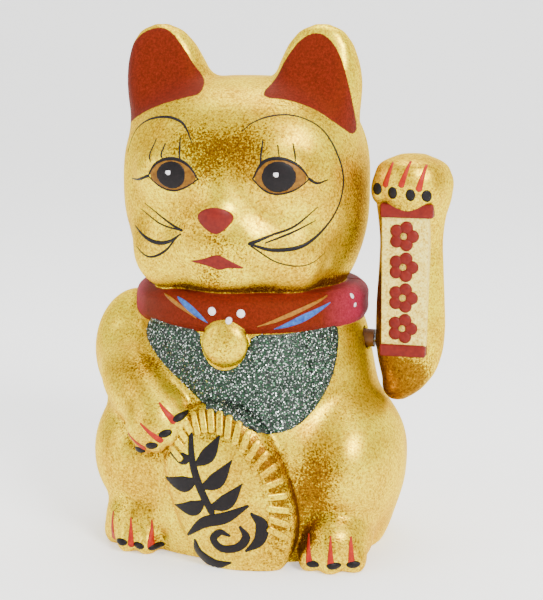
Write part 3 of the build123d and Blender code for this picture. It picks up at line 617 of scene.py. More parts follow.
def stroke(line, widths):
    """A brush stroke along a smooth line, with its full width at each point and rounded ends."""
    line, widths = np.array(line, float), np.array(widths, float)
    steps = np.linspace(0, len(line) - 1, 10 * (len(line) - 1) + 1)
    at = np.arange(len(line))
    smooth = [smooth_steps(at, line[:, i], steps) if len(line) > 2 else np.interp(steps, at, line[:, i])
              for i in (0, 1)]
    swell = smooth_steps(at, widths, steps) if len(line) > 2 else np.interp(steps, at, widths)
    half = np.maximum(swell / 2, 0.06)
    middle = np.stack(smooth, 1)
    along = np.gradient(middle, axis=0)
    along /= np.linalg.norm(along, axis=1)[:, None] + 1e-9
    across = np.stack([-along[:, 1], along[:, 0]], 1) * half[:, None]
    turns = np.linspace(0, math.pi, 7)[1:-1, None]
    tip = np.cos(turns) * across[-1] + np.sin(turns) * along[-1] * half[-1]
    heel = -np.cos(turns) * across[0] - np.sin(turns) * along[0] * half[0]
    return np.concatenate([middle + across, middle[-1] + tip, (middle - across)[::-1], middle[0] + heel])


def ellipse(centre, half_width, half_height, tilt=0.0):
    """The outline of an ellipse."""
    a = np.linspace(0, 2 * math.pi, 33)[:-1]
    p, q = half_width * np.cos(a), half_height * np.sin(a)
    c, s = math.cos(tilt), math.sin(tilt)
    return np.stack([centre[0] + c * p - s * q, centre[1] + s * p + c * q], 1)


def rounded(corners, repeats=3):
    """A closed outline through softened corners, by cutting each corner again and again."""
    line = np.array(corners, float)
    for _ in range(repeats):
        ahead = np.roll(line, -1, axis=0)
        line = np.stack([0.75 * line + 0.25 * ahead, 0.25 * line + 0.75 * ahead], 1).reshape(-1, 2)
    return line


def film(outlines, drop, tree, height, edge=0.35, grid=0.7, sink=0.25):
    """Thin closed films on a skin, one for each flat outline: their points and faces."""
    spots, faces = [], []
    for outline in outlines:
        outline = np.asarray(outline, float)
        low, high = outline.min(0), outline.max(0)
        xs, ys = (np.arange(a + grid / 2, b, grid) for a, b in zip(low, high))
        inner = np.stack(np.meshgrid(xs, ys, indexing="ij"), -1).reshape(-1, 2)
        a, b = outline, np.roll(outline, -1, axis=0)
        d = b - a
        t = np.clip(np.einsum("nij,ij->ni", inner[:, None] - a[None], d) / (np.sum(d * d, 1) + 1e-12), 0, 1)
        gap = np.linalg.norm(inner[:, None] - a[None] - t[..., None] * d[None], axis=2).min(1)
        inner = inner[gap > 0.3 * min(grid, edge)]
        loop = [Vector(p) for p in outline]
        ring = [(i, (i + 1) % len(loop)) for i in range(len(loop))]
        flat, _, fills, *_ = delaunay_2d_cdt(loop + [Vector(p) for p in inner], ring, [], 1, 1e-4)
        flat = np.array([tuple(p) for p in flat])
        t = np.einsum("nij,ij->ni", flat[:, None] - a[None], d) / (np.sum(d * d, 1) + 1e-12)
        t = np.clip(t, 0, 1)
        rise = np.linalg.norm(flat[:, None] - a[None] - t[..., None] * d[None], axis=2).min(1)
        rise = 0.05 + np.sqrt(np.clip(rise / edge, 0, 1)) * height
        top, under, kept = [], [], {}
        for i, (u, v) in enumerate(flat):
            start, way = drop(u, v)
            place, normal, _, _ = tree.ray_cast(start, way)
            if place is None:
                continue
            kept[i] = len(top)
            if normal.dot(way) > 0:
                normal = -normal
            top.append(place + normal * float(rise[i]))
            under.append(place - normal * sink)
        base, count = len(spots), len(top)
        spots += top + under
        sides = {}
        for f in fills:
            if not all(i in kept for i in f):
                continue
            f = [kept[i] for i in f]
            a3, b3, c3 = (top[i] for i in f[:3])
            start, way = drop(*flat[fills[0][0]])
            if (b3 - a3).cross(c3 - a3).dot(way) > 0:
                f = f[::-1]
            faces.append([base + i for i in f])
            faces.append([base + count + i for i in reversed(f)])
            for i, j in zip(f, f[1:] + f[:1]):
                if (j, i) in sides:
                    del sides[(j, i)]
                else:
                    sides[(i, j)] = True
        faces += [[base + j, base + i, base + count + i, base + count + j] for i, j in sides]
    return spots, faces


def paint(name, outlines, drop, tree, material, body="housing", height=0.12, **how):
    """A painted piece made of films."""
    spots, faces = film(outlines, drop, tree, height, **how)
    piece(name, [tuple(p) for p in spots], faces, material, body, "gold_paint",
          ("front_shell",) if body == "housing" else ("arm_front_shell",))
    print(name, len(outlines), "strokes,", len(faces), "faces")


# %% [markdown]
# ## The paints
# All the brushwork is solvent paint, a little glossier than the sprayed gold. Brush hairs leave
# fine streaks and the colour is never quite even, so each paint mixes two near shades with a
# noise and has a faint bump. Streaks are about half a millimetre apart.

# %% Brush paints
def brush_paint(name, dark, light, roughness):
    """A hand-brushed paint film in two near shades."""
    material, tree, shader, where = blank(name)
    streaks = node(tree, "ShaderNodeTexNoise", {"Vector": where},
                   {"Scale": per_mm(1.6), "Detail": 5.0, "Roughness": 0.6})
    colour = node(tree, "ShaderNodeValToRGB", {"Fac": streaks.outputs["Fac"]},
                  stops=[(0.3, dark), (0.7, light)])
    grit = node(tree, "ShaderNodeTexNoise", {"Vector": where}, {"Scale": per_mm(0.5), "Detail": 3.0})
    bump = node(tree, "ShaderNodeBump", {"Height": grit.outputs["Fac"]},
                {"Strength": 0.25, "Distance": 0.05 * MM})
    feed(shader, {"Base Color": colour.outputs["Color"], "Normal": bump.outputs["Normal"]},
         {"Roughness": roughness, "Specular IOR Level": 0.2})
    return material


black_paint = brush_paint("brushed_black_enamel", "060304", "120A0C", 0.5)
red_paint = brush_paint("brushed_red_enamel", "5C0C06", "76180C", 0.5)
claw_red = brush_paint("brushed_orange_red_enamel", "8A1204", "AC2408", 0.5)
blue_paint = brush_paint("brushed_blue_enamel", "10307C", "3468B0", 0.45)
ochre_paint = brush_paint("brushed_ochre_enamel", "7C4804", "9C6810", 0.45)
white_paint = brush_paint("brushed_white_enamel", "D8D2D8", "F0ECEE", 0.38)
amber_paint = brush_paint("brushed_amber_enamel", "5C3602", "8A5C04", 0.42)
print("paints:", len([m for m in bpy.data.materials if m.name.startswith("brushed")]))

# %% [markdown]
# ## Sprayed gold
# Cheap gold is bronze powder in lacquer, sprayed over the plastic. It is half metal and half paint:
# yellow, satin, and grainy, because the powder lies in clumps about half a millimetre across. The
# maker then fogs brown into the creases with an airbrush, which gives the cat its modelling. Here
# the same brown is also painted shade: it darkens the creases, both sides of the head and the arm's
# side that faces the body, so it is partly airbrush and partly painted shade. It is worked out from
# the clay itself: where the distance a little way out from the skin is less than it would be over
# open ground, there is a crease, and the crease is painted darker. Ears and collar are brushed red on top.

# %% Where the brown with its painted shade and the red go
# airbrush brown round the eyes, brows and muzzle, and painted shade on both sides of the head and in the
# creases of thighs, feet, paw, coin and collar
BROWN_AND_SHADE_SPOTS = [
    ((-2, -41, 155), 9, 0.75), ((-14, -40, 157), 9, 0.6), ((10, -40, 157), 9, 0.6), ((-7, -43, 146), 6, 0.5),
    ((10, -42, 147), 6, 0.4), ((-14, -43, 128), 6, 0.45), ((-1, -47, 123), 7, 0.55), ((9, -45, 119), 5, 0.35),
    ((-4, -42, 107), 9, 0.6), ((46, -8, 140), 13, 0.75), ((45, -6, 118), 13, 0.7), ((-48, -8, 124), 12, 0.55),
    ((-47, -10, 150), 9, 0.4), ((20, -26, 172), 8, 0.35), ((34, -22, 167), 6, 0.3), ((-22, -28, 170), 7, 0.3),
    ((36, -41, 37), 9, 1.0), ((33, -42, 24), 8, 0.8), ((-32, -40, 72), 8, 0.7), ((-40, -40, 56), 8, 0.4),
    ((-24, -56, 58), 6, 0.3), ((0, -52, 57), 8, 0.45), ((20, -48, 44), 6, 0.4), ((-44, -38, 15), 7, 0.35),
    ((-32, -42, 16), 7, 0.35), ((36, -46, 12), 4, 0.5), ((44, -47, 12), 4, 0.5), ((50, -42, 12), 4, 0.4),
    ((0, -46, 83), 6, 0.35), ((40, -30, 60), 12, 0.25),
]
# painted shade, most of it down the arm's side that faces the body and round its lower end
ARM_SHADE_SPOTS = [
    ((51, -3, 100), 11, 1.2), ((51, -3, 84), 11, 1.3), ((52, -5, 70), 11, 1.3), ((52, -4, 118), 10, 1.1),
    ((60, -9, 68), 8, 1.1), ((62, -11, 62), 7, 0.9), ((66, -10, 70), 7, 0.7), ((62, -14, 134), 6, 0.6),
]


def fog(spots, normals, clay, centres):
    """How much brown each point gets, from 0 to 1: airbrush brown and painted shade, darker in the creases
    and at the given spots.
    """
    # painted shade: the deeper the crease round a point, the darker it is painted
    crease = 0
    for reach, share in ((2.5, 0.25), (5.0, 0.4), (9.0, 0.35)):
        crease = crease + share * np.clip(1 - clay.at(spots + normals * reach) / reach, 0, 1)
    total = np.clip((crease - 0.12) * 1.5, 0, 0.9)
    for centre, radius, strength in centres:
        away = np.linalg.norm(spots - np.array(centre), axis=1)
        total = total + strength * np.exp(-(away / radius) ** 2)
    return np.clip(total, 0, 1.3)


def rib_shade(spots):
    """Painted shade between the ribs of the coin, strongest on the right of its ring."""
    x, z = spots[:, 0] - COIN_AT[0], spots[:, 2] - COIN_AT[2]
    u, v = (COIN_COS * x + COIN_SIN * z) / COIN_R[0], (COIN_COS * z - COIN_SIN * x) / COIN_R[2]
    angle, out = np.arctan2(v, u), np.hypot(u, v)
    between = 0.35 + 0.65 * (0.5 - 0.5 * np.cos(COIN_RIBS * angle))
    side = np.clip(0.5 + np.cos(angle - 0.5), 0, 1)
    on_it = (COIN[0](*spots.T) < 1.2) & (spots[:, 1] < -30)
    return np.where(on_it, 1.15 * side * between * np.exp(-((out - 0.84) / 0.16) ** 2), 0)


def inside_outline(flat, outline):
    """Signed distance to a flat outline: less than zero inside it."""
    a, b = outline, np.roll(outline, -1, axis=0)
    best = np.full(len(flat), 1e9)
    odd = np.zeros(len(flat), bool)
    for p, q in zip(a, b):
        d = q - p
        t = np.clip(((flat - p) @ d) / (d @ d + 1e-12), 0, 1)
        best = np.minimum(best, np.linalg.norm(flat - p - t[:, None] * d, axis=1))
        crosses = (p[1] > flat[:, 1]) != (q[1] > flat[:, 1])
        with np.errstate(divide="ignore", invalid="ignore"):
            at = (q[0] - p[0]) * (flat[:, 1] - p[1]) / (q[1] - p[1]) + p[0]
        odd ^= crosses & (flat[:, 0] < at)
    return np.where(odd, -best, best)


RIGHT_EAR_RED = rounded([
    (-49, 159), (-49.5, 172), (-48, 185), (-43, 194), (-36, 198.4), (-29, 198), (-23, 191), (-17.5, 182),
    (-11, 174.5), (-20, 172.4), (-31, 169.2), (-41, 164.5),
], 2)
LEFT_EAR_RED = rounded([
    (9.8, 173.2), (13, 180), (17.5, 188.5), (23, 195), (29, 197), (34.5, 193.5), (38.5, 186), (41, 177),
    (42.3, 166), (42.6, 158), (38, 163), (30, 169), (20, 172.6),
], 2)
for name in ("body_front", "body_back"):
    made = shells[name]
    spots, normals = places(made)
    # the body gets airbrush brown with painted shade, and painted shade between the coin's ribs
    note(made.data, "fog", np.clip(fog(spots, normals, cat, BROWN_AND_SHADE_SPOTS) + rib_shade(spots), 0, 1.3))
    collar = column(COLLAR)[0](*spots.T)
    collar = np.where((spots[:, 2] > 86) & (spots[:, 2] < 103), collar, 9)
    ears = np.minimum(*(inside_outline(spots[:, [0, 2]], o) for o in (RIGHT_EAR_RED, LEFT_EAR_RED)))
    facing = (normals[:, 1] < 0.25) & (spots[:, 1] < -6)
    ears = np.where(facing, ears, 3.0)
    note(made.data, "red_edge", np.minimum(collar - 0.45, ears))
    print(name, "fogged share", round(float((fog(spots, normals, cat, BROWN_AND_SHADE_SPOTS) > 0.4).mean()), 2))
for name in ("arm_front", "arm_back"):
    made = shells[name]
    spots, normals = places(made)
    # the arm gets brown with painted shade from its creases and from these spots
    note(made.data, "fog", fog(spots, normals, arm, ARM_SHADE_SPOTS))
    note(made.data, "red_edge", np.full(len(spots), 3.0))

# %% The gold paint itself
tree, shader, where = gold_tree, gold_shader, gold_place
clumps = node(tree, "ShaderNodeTexNoise", {"Vector": where},
              {"Scale": per_mm(0.9), "Detail": 4.0, "Roughness": 0.75}).outputs["Fac"]
cloud = node(tree, "ShaderNodeTexNoise", {"Vector": where}, {"Scale": per_mm(22), "Detail": 3.0})
bright, warm, brown, brick, pink = (
    node(tree, "ShaderNodeValToRGB", {"Fac": clumps}, stops=stops).outputs["Color"] for stops in (
        [(0.30, "926A00"), (0.45, "E0BA00"), (0.60, "FFEC00")],
        [(0.30, "785000"), (0.48, "C49600"), (0.62, "F2CC00")],
        [(0.3, "341A02"), (0.5, "6E4006"), (0.7, "98640C")],
        [(0.32, "4A0A08"), (0.5, "5E100C"), (0.66, "701812")],
        [(0.32, "861230"), (0.66, "A82C4C")],
    )
)
drift = node(tree, "ShaderNodeMapRange", {"Value": cloud.outputs["Fac"]},
             {"From Min": 0.4, "From Max": 0.65}, clamp=True)
powder = node(tree, "ShaderNodeMix", {"Factor": drift.outputs["Result"], "A": bright, "B": warm},
              data_type="RGBA")

# the airbrushed brown together with its painted shade, for each point, broken up by the grain of the airbrush
brown_and_shade_level = node(tree, "ShaderNodeAttribute", attribute_name="fog").outputs["Fac"]
grain = node(tree, "ShaderNodeTexNoise", {"Vector": where},
             {"Scale": per_mm(0.7), "Detail": 2.0, "Roughness": 0.6}).outputs["Fac"]
dither = node(tree, "ShaderNodeMath", {0: grain}, {1: 3.0, 2: -1.8}, operation="MULTIPLY_ADD")
dithered_brown_and_shade = node(tree, "ShaderNodeMath", {0: brown_and_shade_level, 1: dither.outputs[0]}, operation="ADD")
brown_and_shade_amount = node(tree, "ShaderNodeMapRange", {"Value": dithered_brown_and_shade.outputs[0]},
              {"From Min": 0.05, "From Max": 0.52, "To Max": 0.94}, clamp=True)
gold_with_brown_and_shade = node(tree, "ShaderNodeMix", {
    "Factor": brown_and_shade_amount.outputs["Result"], "A": powder.outputs["Result"], "B": brown,
}, data_type="RGBA")

# the brushed red of collar and ears, with a ragged edge, turning pink at the collar's ends
edge = node(tree, "ShaderNodeAttribute", attribute_name="red_edge").outputs["Fac"]
wander = node(tree, "ShaderNodeMath", {0: grain}, {1: 0.5, 2: -0.25}, operation="MULTIPLY_ADD")
ragged = node(tree, "ShaderNodeMath", {0: edge, 1: wander.outputs[0]}, operation="ADD")
covered = node(tree, "ShaderNodeMapRange", {"Value": ragged.outputs[0]},
               {"From Min": -0.12, "From Max": 0.12, "To Min": 1.0, "To Max": 0.0}, clamp=True)
place = node(tree, "ShaderNodeSeparateXYZ", {"Vector": where}).outputs
aside = node(tree, "ShaderNodeMath", {0: place["X"]}, operation="ABSOLUTE")
far_out = node(tree, "ShaderNodeMapRange", {"Value": aside.outputs[0]},
               {"From Min": 34 * MM, "From Max": 46 * MM}, clamp=True)
low_down = node(tree, "ShaderNodeMath", {0: place["Z"]}, {1: 110 * MM}, operation="LESS_THAN")
at_ends = node(tree, "ShaderNodeMath", {0: far_out.outputs["Result"], 1: low_down.outputs[0]},
               operation="MULTIPLY")
red = node(tree, "ShaderNodeMix", {"Factor": at_ends.outputs[0], "A": brick, "B": pink}, data_type="RGBA")
skin_colour = node(tree, "ShaderNodeMix", {
    "Factor": covered.outputs["Result"], "A": gold_with_brown_and_shade.outputs["Result"], "B": red.outputs["Result"],
}, data_type="RGBA")
metal = node(tree, "ShaderNodeMath", {0: covered.outputs["Result"]}, {1: -0.88, 2: 0.88},
             operation="MULTIPLY_ADD")
shine = node(tree, "ShaderNodeMath", {0: clumps}, {1: -0.25, 2: 0.52}, operation="MULTIPLY_ADD")
dulled = node(tree, "ShaderNodeMix", {"Factor": covered.outputs["Result"], "A": shine.outputs[0]}, {"B": 0.7})
rough = node(tree, "ShaderNodeBump", {"Height": clumps}, {"Strength": 0.5, "Distance": 0.10 * MM})
feed(shader, {
    "Base Color": skin_colour.outputs["Result"], "Metallic": metal.outputs[0],
    "Roughness": dulled.outputs["Result"], "Normal": rough.outputs["Normal"],
}, {"Specular IOR Level": 0.2, "Specular Tint": tint("FFE45A")})
print("gold nodes:", len(tree.nodes))

# %% [markdown]
# ## The face
# Eyes, brows and whiskers are painted, not moulded. The painter works round the head, so the
# strokes are given as millimetres round from the middle of the face, and height. Each eye is an
# amber almond with a black outline that runs out into a tail, a round pupil and one white dot.

# %% Eyes
EYES = {
    "right": ((-17.2, 145.5), 5.1, (-25.6, 144.8), (-7.4, 144.2), 151.4, 139.7, (-38.5, 142.6)),
    "left": ((22.3, 145.7), 5.7, (13.6, 144.8), (32.8, 144.7), 152.3, 139.4, (41.0, 143.9)),
}
ambers, lids, pupils, glints = [], [], [], []
for (s, z), pupil, outer, inner_corner, top, bottom, tail in EYES.values():
    upper = [outer, (0.6 * outer[0] + 0.4 * s, top - 1.6), (s, top),
             (0.55 * inner_corner[0] + 0.45 * s, top - 2.0), inner_corner]
    lower = [inner_corner, (0.5 * inner_corner[0] + 0.5 * s, bottom + 1.4), (s, bottom),
             (0.5 * outer[0] + 0.5 * s, bottom + 1.2), outer]
    ambers.append(rounded(upper[:-1] + lower[:-1], 2))
    lids.append(stroke(upper, [0.5, 1.1, 1.3, 1.0, 0.5]))
    lids.append(stroke(lower, [0.5, 0.7, 0.7, 0.7, 0.5]))
    start = outer if s < 0 else inner_corner
    lids.append(stroke([start, (0.55 * start[0] + 0.45 * tail[0], start[1] - 1.8), tail], [1.1, 0.9, 0.4]))
    pupils.append(ellipse((s, z), pupil, pupil))
    glints.append(ellipse((s - 0.9, z + 0.9), 1.15, 1.15))
paint("eye_ambers", ambers, on_head, body_skin, amber_paint, height=0.08)
paint("eye_outlines", lids, on_head, body_skin, black_paint, height=0.16)
paint("eye_pupils", pupils, on_head, body_skin, black_paint, height=0.22)
paint("eye_glints", glints, on_head, body_skin, white_paint, height=0.34)

# %% Brows, lashes and whiskers
BROWS = [
    ([(-44.5, 152), (-42.5, 160), (-36.3, 164.4), (-27.1, 165.9), (-19.3, 164.7), (-15, 162), (-11.2, 157)],
     [0.4, 0.6, 0.8, 0.9, 0.9, 0.7, 0.3]),
    ([(9.5, 161.5), (13.6, 164.4), (20.3, 166.6), (28.4, 167.3), (35.5, 165.8), (41.6, 161.8), (45.8, 153.7),
      (48.4, 144.1), (46.7, 135.4), (41.7, 127.5), (34.7, 122.3), (28.1, 119.6), (20, 119.2), (13.0, 121.4)],
     [0.3, 0.4, 0.5, 0.5, 0.5, 0.6, 0.8, 0.8, 0.7, 0.8, 1.1, 1.5, 1.4, 0.8]),
]
LASHES = [
    [(-26.9, 158), (-26.6, 153.5), (-24.9, 150)], [(-21.8, 156.6), (-21.6, 153), (-20.6, 151.2)],
    [(-16.4, 158.6), (-15.4, 154.5), (-14.6, 151)], [(17.6, 158.3), (16.6, 153), (16.2, 149.6)],
    [(22.9, 156.8), (22.7, 152.4)], [(28.6, 157.2), (28.4, 154), (27.8, 151)],
]
WHISKERS = [
    ([(-12.4, 125.6), (-20.5, 128.2), (-31, 134)], [1.0, 0.7, 0.3]),
    ([(-13.4, 125.6), (-22.8, 126.8), (-33, 131.5)], [0.6, 0.6, 0.3]),
    ([(-12.6, 124.2), (-18, 121), (-25.5, 120.3), (-37, 125)], [0.6, 1.3, 1.5, 0.4]),
    ([(-14.2, 122.8), (-19.8, 117.6), (-27.1, 114.4), (-34, 117.5)], [0.5, 0.9, 0.8, 0.3]),
    ([(12.6, 121.7), (20, 124.4), (28.6, 127.5), (37.2, 134.2)], [1.5, 0.9, 0.8, 0.3]),
    ([(18, 121.8), (26.1, 124.7), (36.4, 129.2)], [0.5, 0.8, 0.3]),
    ([(13, 120.8), (22.1, 114.6), (31.8, 113.2), (41, 117.2)], [0.6, 0.5, 0.4, 0.2]),
]
paint("brow_lines", [stroke(*line) for line in BROWS], on_head, body_skin, black_paint)
paint("lashes", [stroke(line, [0.5] + [0.65] * (len(line) - 2) + [0.35]) for line in LASHES],
      on_head, body_skin, black_paint)
paint("whiskers", [stroke(*line) for line in WHISKERS], on_head, body_skin, black_paint)

# %% Nose and mouth
nose = rounded([
    (-6.6, 131.0), (-4.0, 133.8), (0.4, 134.8), (5.0, 133.8), (7.6, 131.0), (4.6, 127.0), (0.6, 124.2),
    (-3.6, 127.0),
], 2)
mouth = rounded([
    (-10.2, 114.4), (-4.5, 115.4), (-1, 116.8), (1.4, 117.4), (4.2, 116.0), (7, 114.4), (11.4, 112.2),
    (7.4, 112.4), (4.4, 112.4), (1.6, 111.4), (-1.0, 112.4), (-4.8, 113.4),
], 2)
paint("nose_and_mouth", [nose, mouth], on_head, body_skin, red_paint, height=0.14)

# %% [markdown]
# ## Collar strokes, claws and coin mark
# The red collar carries two long leaves in blue and two in ochre, and a few white dots. Every toe
# has a bead of black for its claw and one red streak above it. The coin carries a bold mark in
# black: here a sprig of bamboo over a rolling cloud, both old signs of good luck.

# %% Collar and claws
LEAF = [0.3, 2.0, 2.7, 1.9, 0.3]
paint("collar_blue_leaves", [
    stroke([(-19, 99.6), (-15, 97.8), (-11.5, 95.8), (-8, 93.6), (-4.2, 91.2)], LEAF),
    stroke([(22, 89.3), (27.5, 91), (33, 93), (38.5, 95.2), (44.5, 97.8)], LEAF),
], on_head, body_skin, blue_paint, height=0.14)
paint("collar_ochre_leaves", [
    stroke([(-27, 99.8), (-22.5, 98.6), (-18, 96.9), (-13.5, 94.9), (-9.2, 92.6)], [0.3, 1.2, 1.6, 1.2, 0.3]),
    stroke([(15.5, 90.4), (22, 92.4), (29, 95), (36, 97.6), (44.5, 100.2)], [0.3, 1.3, 1.7, 1.3, 0.3]),
], on_head, body_skin, ochre_paint, height=0.10)
paint("collar_dots", [
    ellipse((-2.3, 95.6), 1.6, 1.6), ellipse((9.2, 95.2), 1.6, 1.6), ellipse((4.6, 92.6), 1.25, 1.25),
    ellipse((57, 98.6), 1.0, 1.0), ellipse((58.5, 95), 0.9, 0.9),
], on_head, body_skin, white_paint, height=0.22)
CLAWS = [
    (-13.6, 57.6, 0.5), (-18.2, 51.8, 0.35), (-23.6, 46.8, 0.2), (-29.8, 43.6, 0.0),
    (-40.2, 4.4, 0.0), (-33.0, 3.8, 0.0), (-26.8, 3.2, 0.1), (35.6, 3.6, 0.0), (43.6, 4.0, 0.0),
    (50.2, 4.0, 0.1),
]
STREAKS = [
    ((-21.3, 62.4), (-15.6, 56.4)), ((-27.4, 55.3), (-20.2, 49.2)), ((-33.4, 50.4), (-27.6, 45.2)),
    ((-45.2, 14.4), (-45.6, 3.6)), ((-36.9, 13.6), (-36.4, 3.6)), ((-29.0, 13.0), (-28.2, 3.6)),
    ((33.0, 13.6), (34.2, 4.6)), ((42.0, 14.4), (42.6, 4.8)), ((48.9, 13.8), (49.6, 5.0)),
]
paint("body_claws", [ellipse((x, z), 2.5, 1.45, tilt) for x, z, tilt in CLAWS], from_front, body_skin,
      black_paint, height=0.7, edge=1.3, grid=0.5)
paint("body_streaks", [stroke([a, b], [0.6, 2.5]) for a, b in STREAKS], from_front, body_skin, claw_red,
      height=0.16, grid=0.5)
ARM_CLAWS = [(52.0, 139.6), (58.2, 138.6), (64.9, 138.0), (70.6, 137.6)]
ARM_STREAKS = [
    ((57.6, 149.2), (55.4, 141.6)), ((64.2, 149.8), (61.6, 141.8)), ((70.0, 148.6), (68.0, 140.4)),
]
paint("arm_claws", [ellipse(c, 1.8, 2.3) for c in ARM_CLAWS], from_front, arm_skin, black_paint, "arm",
      height=0.6, edge=1.2, grid=0.4)
paint("arm_streaks", [stroke([a, b], [0.9, 2.4]) for a, b in ARM_STREAKS], from_front, arm_skin, claw_red,
      "arm", height=0.16, grid=0.5)


# %% The coin's mark
def on_coin(u, v):
    """A ray at the coin: u runs across it and v up its length, from its middle."""
    return from_front(COIN_AT[0] + COIN_COS * u - COIN_SIN * v, COIN_AT[2] + COIN_SIN * u + COIN_COS * v)


BAMBOO = [
    ([(-1.0, 26), (-3.2, 17), (-3.6, 7), (-2.4, -3.0)], [2.0, 2.8, 3.2, 2.8]),
    ([(-3.2, 18), (-7.0, 18.6), (-11.5, 21.5)], [1.2, 4.6, 0.5]),
    ([(-3.6, 10), (-10.0, 9.4), (-18.0, 13.0)], [1.2, 6.2, 0.5]),
    ([(-3.4, 1.5), (-9.5, -0.2), (-17.0, 2.2)], [1.2, 6.0, 0.5]),
    ([(-2.8, 15), (3.5, 17.4), (10.0, 23.0)], [1.2, 5.6, 0.5]),
    ([(-3.6, 6.5), (3.6, 7.6), (11.5, 13.0)], [1.2, 6.0, 0.5]),
    ([(-3.0, -1.5), (4.5, -1.0), (12.4, 3.6)], [1.2, 5.8, 0.5]),
]
CLOUD = [
    ([(-16, -10.0), (-7, -6.4), (2, -6.6), (11.5, -4.8)], [1.0, 4.2, 4.4, 1.2]),
    ([(12.0, -8.0), (14.0, -13.0), (11.0, -18.5), (4.8, -21)], [1.2, 4.6, 4.2, 1.0]),
    ([(-13.6, -12.5), (-14.2, -18), (-9.5, -23.0), (-3.0, -24)], [1.2, 4.4, 4.2, 1.0]),
    ([(6.2, -11.6), (6.8, -16), (2.2, -18.8), (-3.8, -17.6), (-5.6, -13.4), (-2.0, -11.4), (1.0, -13.6)],
     [1.2, 3.2, 3.2, 3.2, 3.0, 2.6, 1.0]),
]
paint("coin_mark", [stroke([(u - 3.5, v) for u, v in line], widths) for line, widths in BAMBOO + CLOUD],
      on_coin, body_skin, black_paint, height=0.2)

# %% [markdown]
# ## Things that repeat
# The ribs round the coin, the glitter on the bib and the flowers on the arm's tablet are the same
# small shape many times. Geometry Nodes place such copies: a tree takes a line or a patch of
# points, puts a shape on each, makes the copies real and gives them a material. Each tree below
# has its sizes as named inputs, so a learner can turn them in the panel.

# %% Helpers for trees
def geometry_tree(name, inputs):
    """A Geometry Nodes tree with a geometry input, named number inputs and a material input."""
    tree = bpy.data.node_groups.new(name, "GeometryNodeTree")
    tree.interface.new_socket("Geometry", in_out="INPUT", socket_type="NodeSocketGeometry")
    for key, (kind, value) in inputs.items():
        made = tree.interface.new_socket(key, in_out="INPUT", socket_type=kind)
        if value is not None:
            made.default_value = value
    tree.interface.new_socket("Geometry", in_out="OUTPUT", socket_type="NodeSocketGeometry")
    return tree, node(tree, "NodeGroupInput").outputs


def close_tree(tree, copies, material):
    """End a tree: make the copies real, smooth them and set their material."""
    real = node(tree, "GeometryNodeRealizeInstances", {"Geometry": copies})
    smooth = node(tree, "GeometryNodeSetShadeSmooth", {"Geometry": real.outputs[0]})
    dressed = node(tree, "GeometryNodeSetMaterial", {"Geometry": smooth.outputs[0], "Material": material})
    node(tree, "NodeGroupOutput", {"Geometry": dressed.outputs[0]})


def grown(name, spots, faces, notes, tree, values, body, slot, stands_for):
    """Run a tree on a few points or faces in metres, and keep the result as a plain mesh."""
    start = bpy.data.meshes.new("start")
    start.from_pydata([tuple(p) for p in spots], [], faces)
    for key, value in notes.items():
        note(start, key, value)
    made = bpy.data.objects.new(name, start)
    bpy.context.scene.collection.objects.link(made)
    run = made.modifiers.new("grow", "NODES")
    run.node_group = tree
    for item in tree.interface.items_tree:
        if item.in_out == "INPUT" and item.name in values:
            run[item.identifier] = values[item.name]
    mesh = bpy.data.meshes.new_from_object(made.evaluated_get(bpy.context.evaluated_depsgraph_get()))
    made.modifiers.clear()
    made.data = mesh
    mesh.name = name
    bpy.data.meshes.remove(start)
    finish_piece(made, body, slot, stands_for)
    print(name, len(mesh.polygons), "faces")
    return made


# %% [markdown]
# The coin's rim is a ring of short raised bars, one every 4 mm, that point away from its middle.
# Each point of the ring carries two directions, out of the skin and away from the middle, and the
# tree turns a softened block to match them.

# %% Ribs round the coin
ribs_tree, into = geometry_tree("coin_ribs", {
    "Length": ("NodeSocketFloat", 0.006), "Width": ("NodeSocketFloat", 0.002),
    "Height": ("NodeSocketFloat", 0.001), "Material": ("NodeSocketMaterial", None),
})
size = node(ribs_tree, "ShaderNodeCombineXYZ", {"X": into["Length"], "Y": into["Width"], "Z": into["Height"]})
block = node(ribs_tree, "GeometryNodeMeshCube", {"Size": size.outputs[0]})
soft = node(ribs_tree, "GeometryNodeSubdivisionSurface", {"Mesh": block.outputs["Mesh"]},
            {"Level": 2, "Edge Crease": 0.45})
outward, away = (
    node(ribs_tree, "GeometryNodeInputNamedAttribute", values={"Name": name}, data_type="FLOAT_VECTOR")
    for name in ("outward", "away")
)
aim = node(ribs_tree, "FunctionNodeAlignRotationToVector", {"Vector": outward.outputs["Attribute"]}, axis="Z")
turned = node(ribs_tree, "FunctionNodeAlignRotationToVector",
              {"Rotation": aim.outputs[0], "Vector": away.outputs["Attribute"]}, axis="X", pivot_axis="Z")
bars = node(ribs_tree, "GeometryNodeInstanceOnPoints", {
    "Points": into["Geometry"], "Instance": soft.outputs[0], "Rotation": turned.outputs[0],
})
close_tree(ribs_tree, bars.outputs[0], into["Material"])

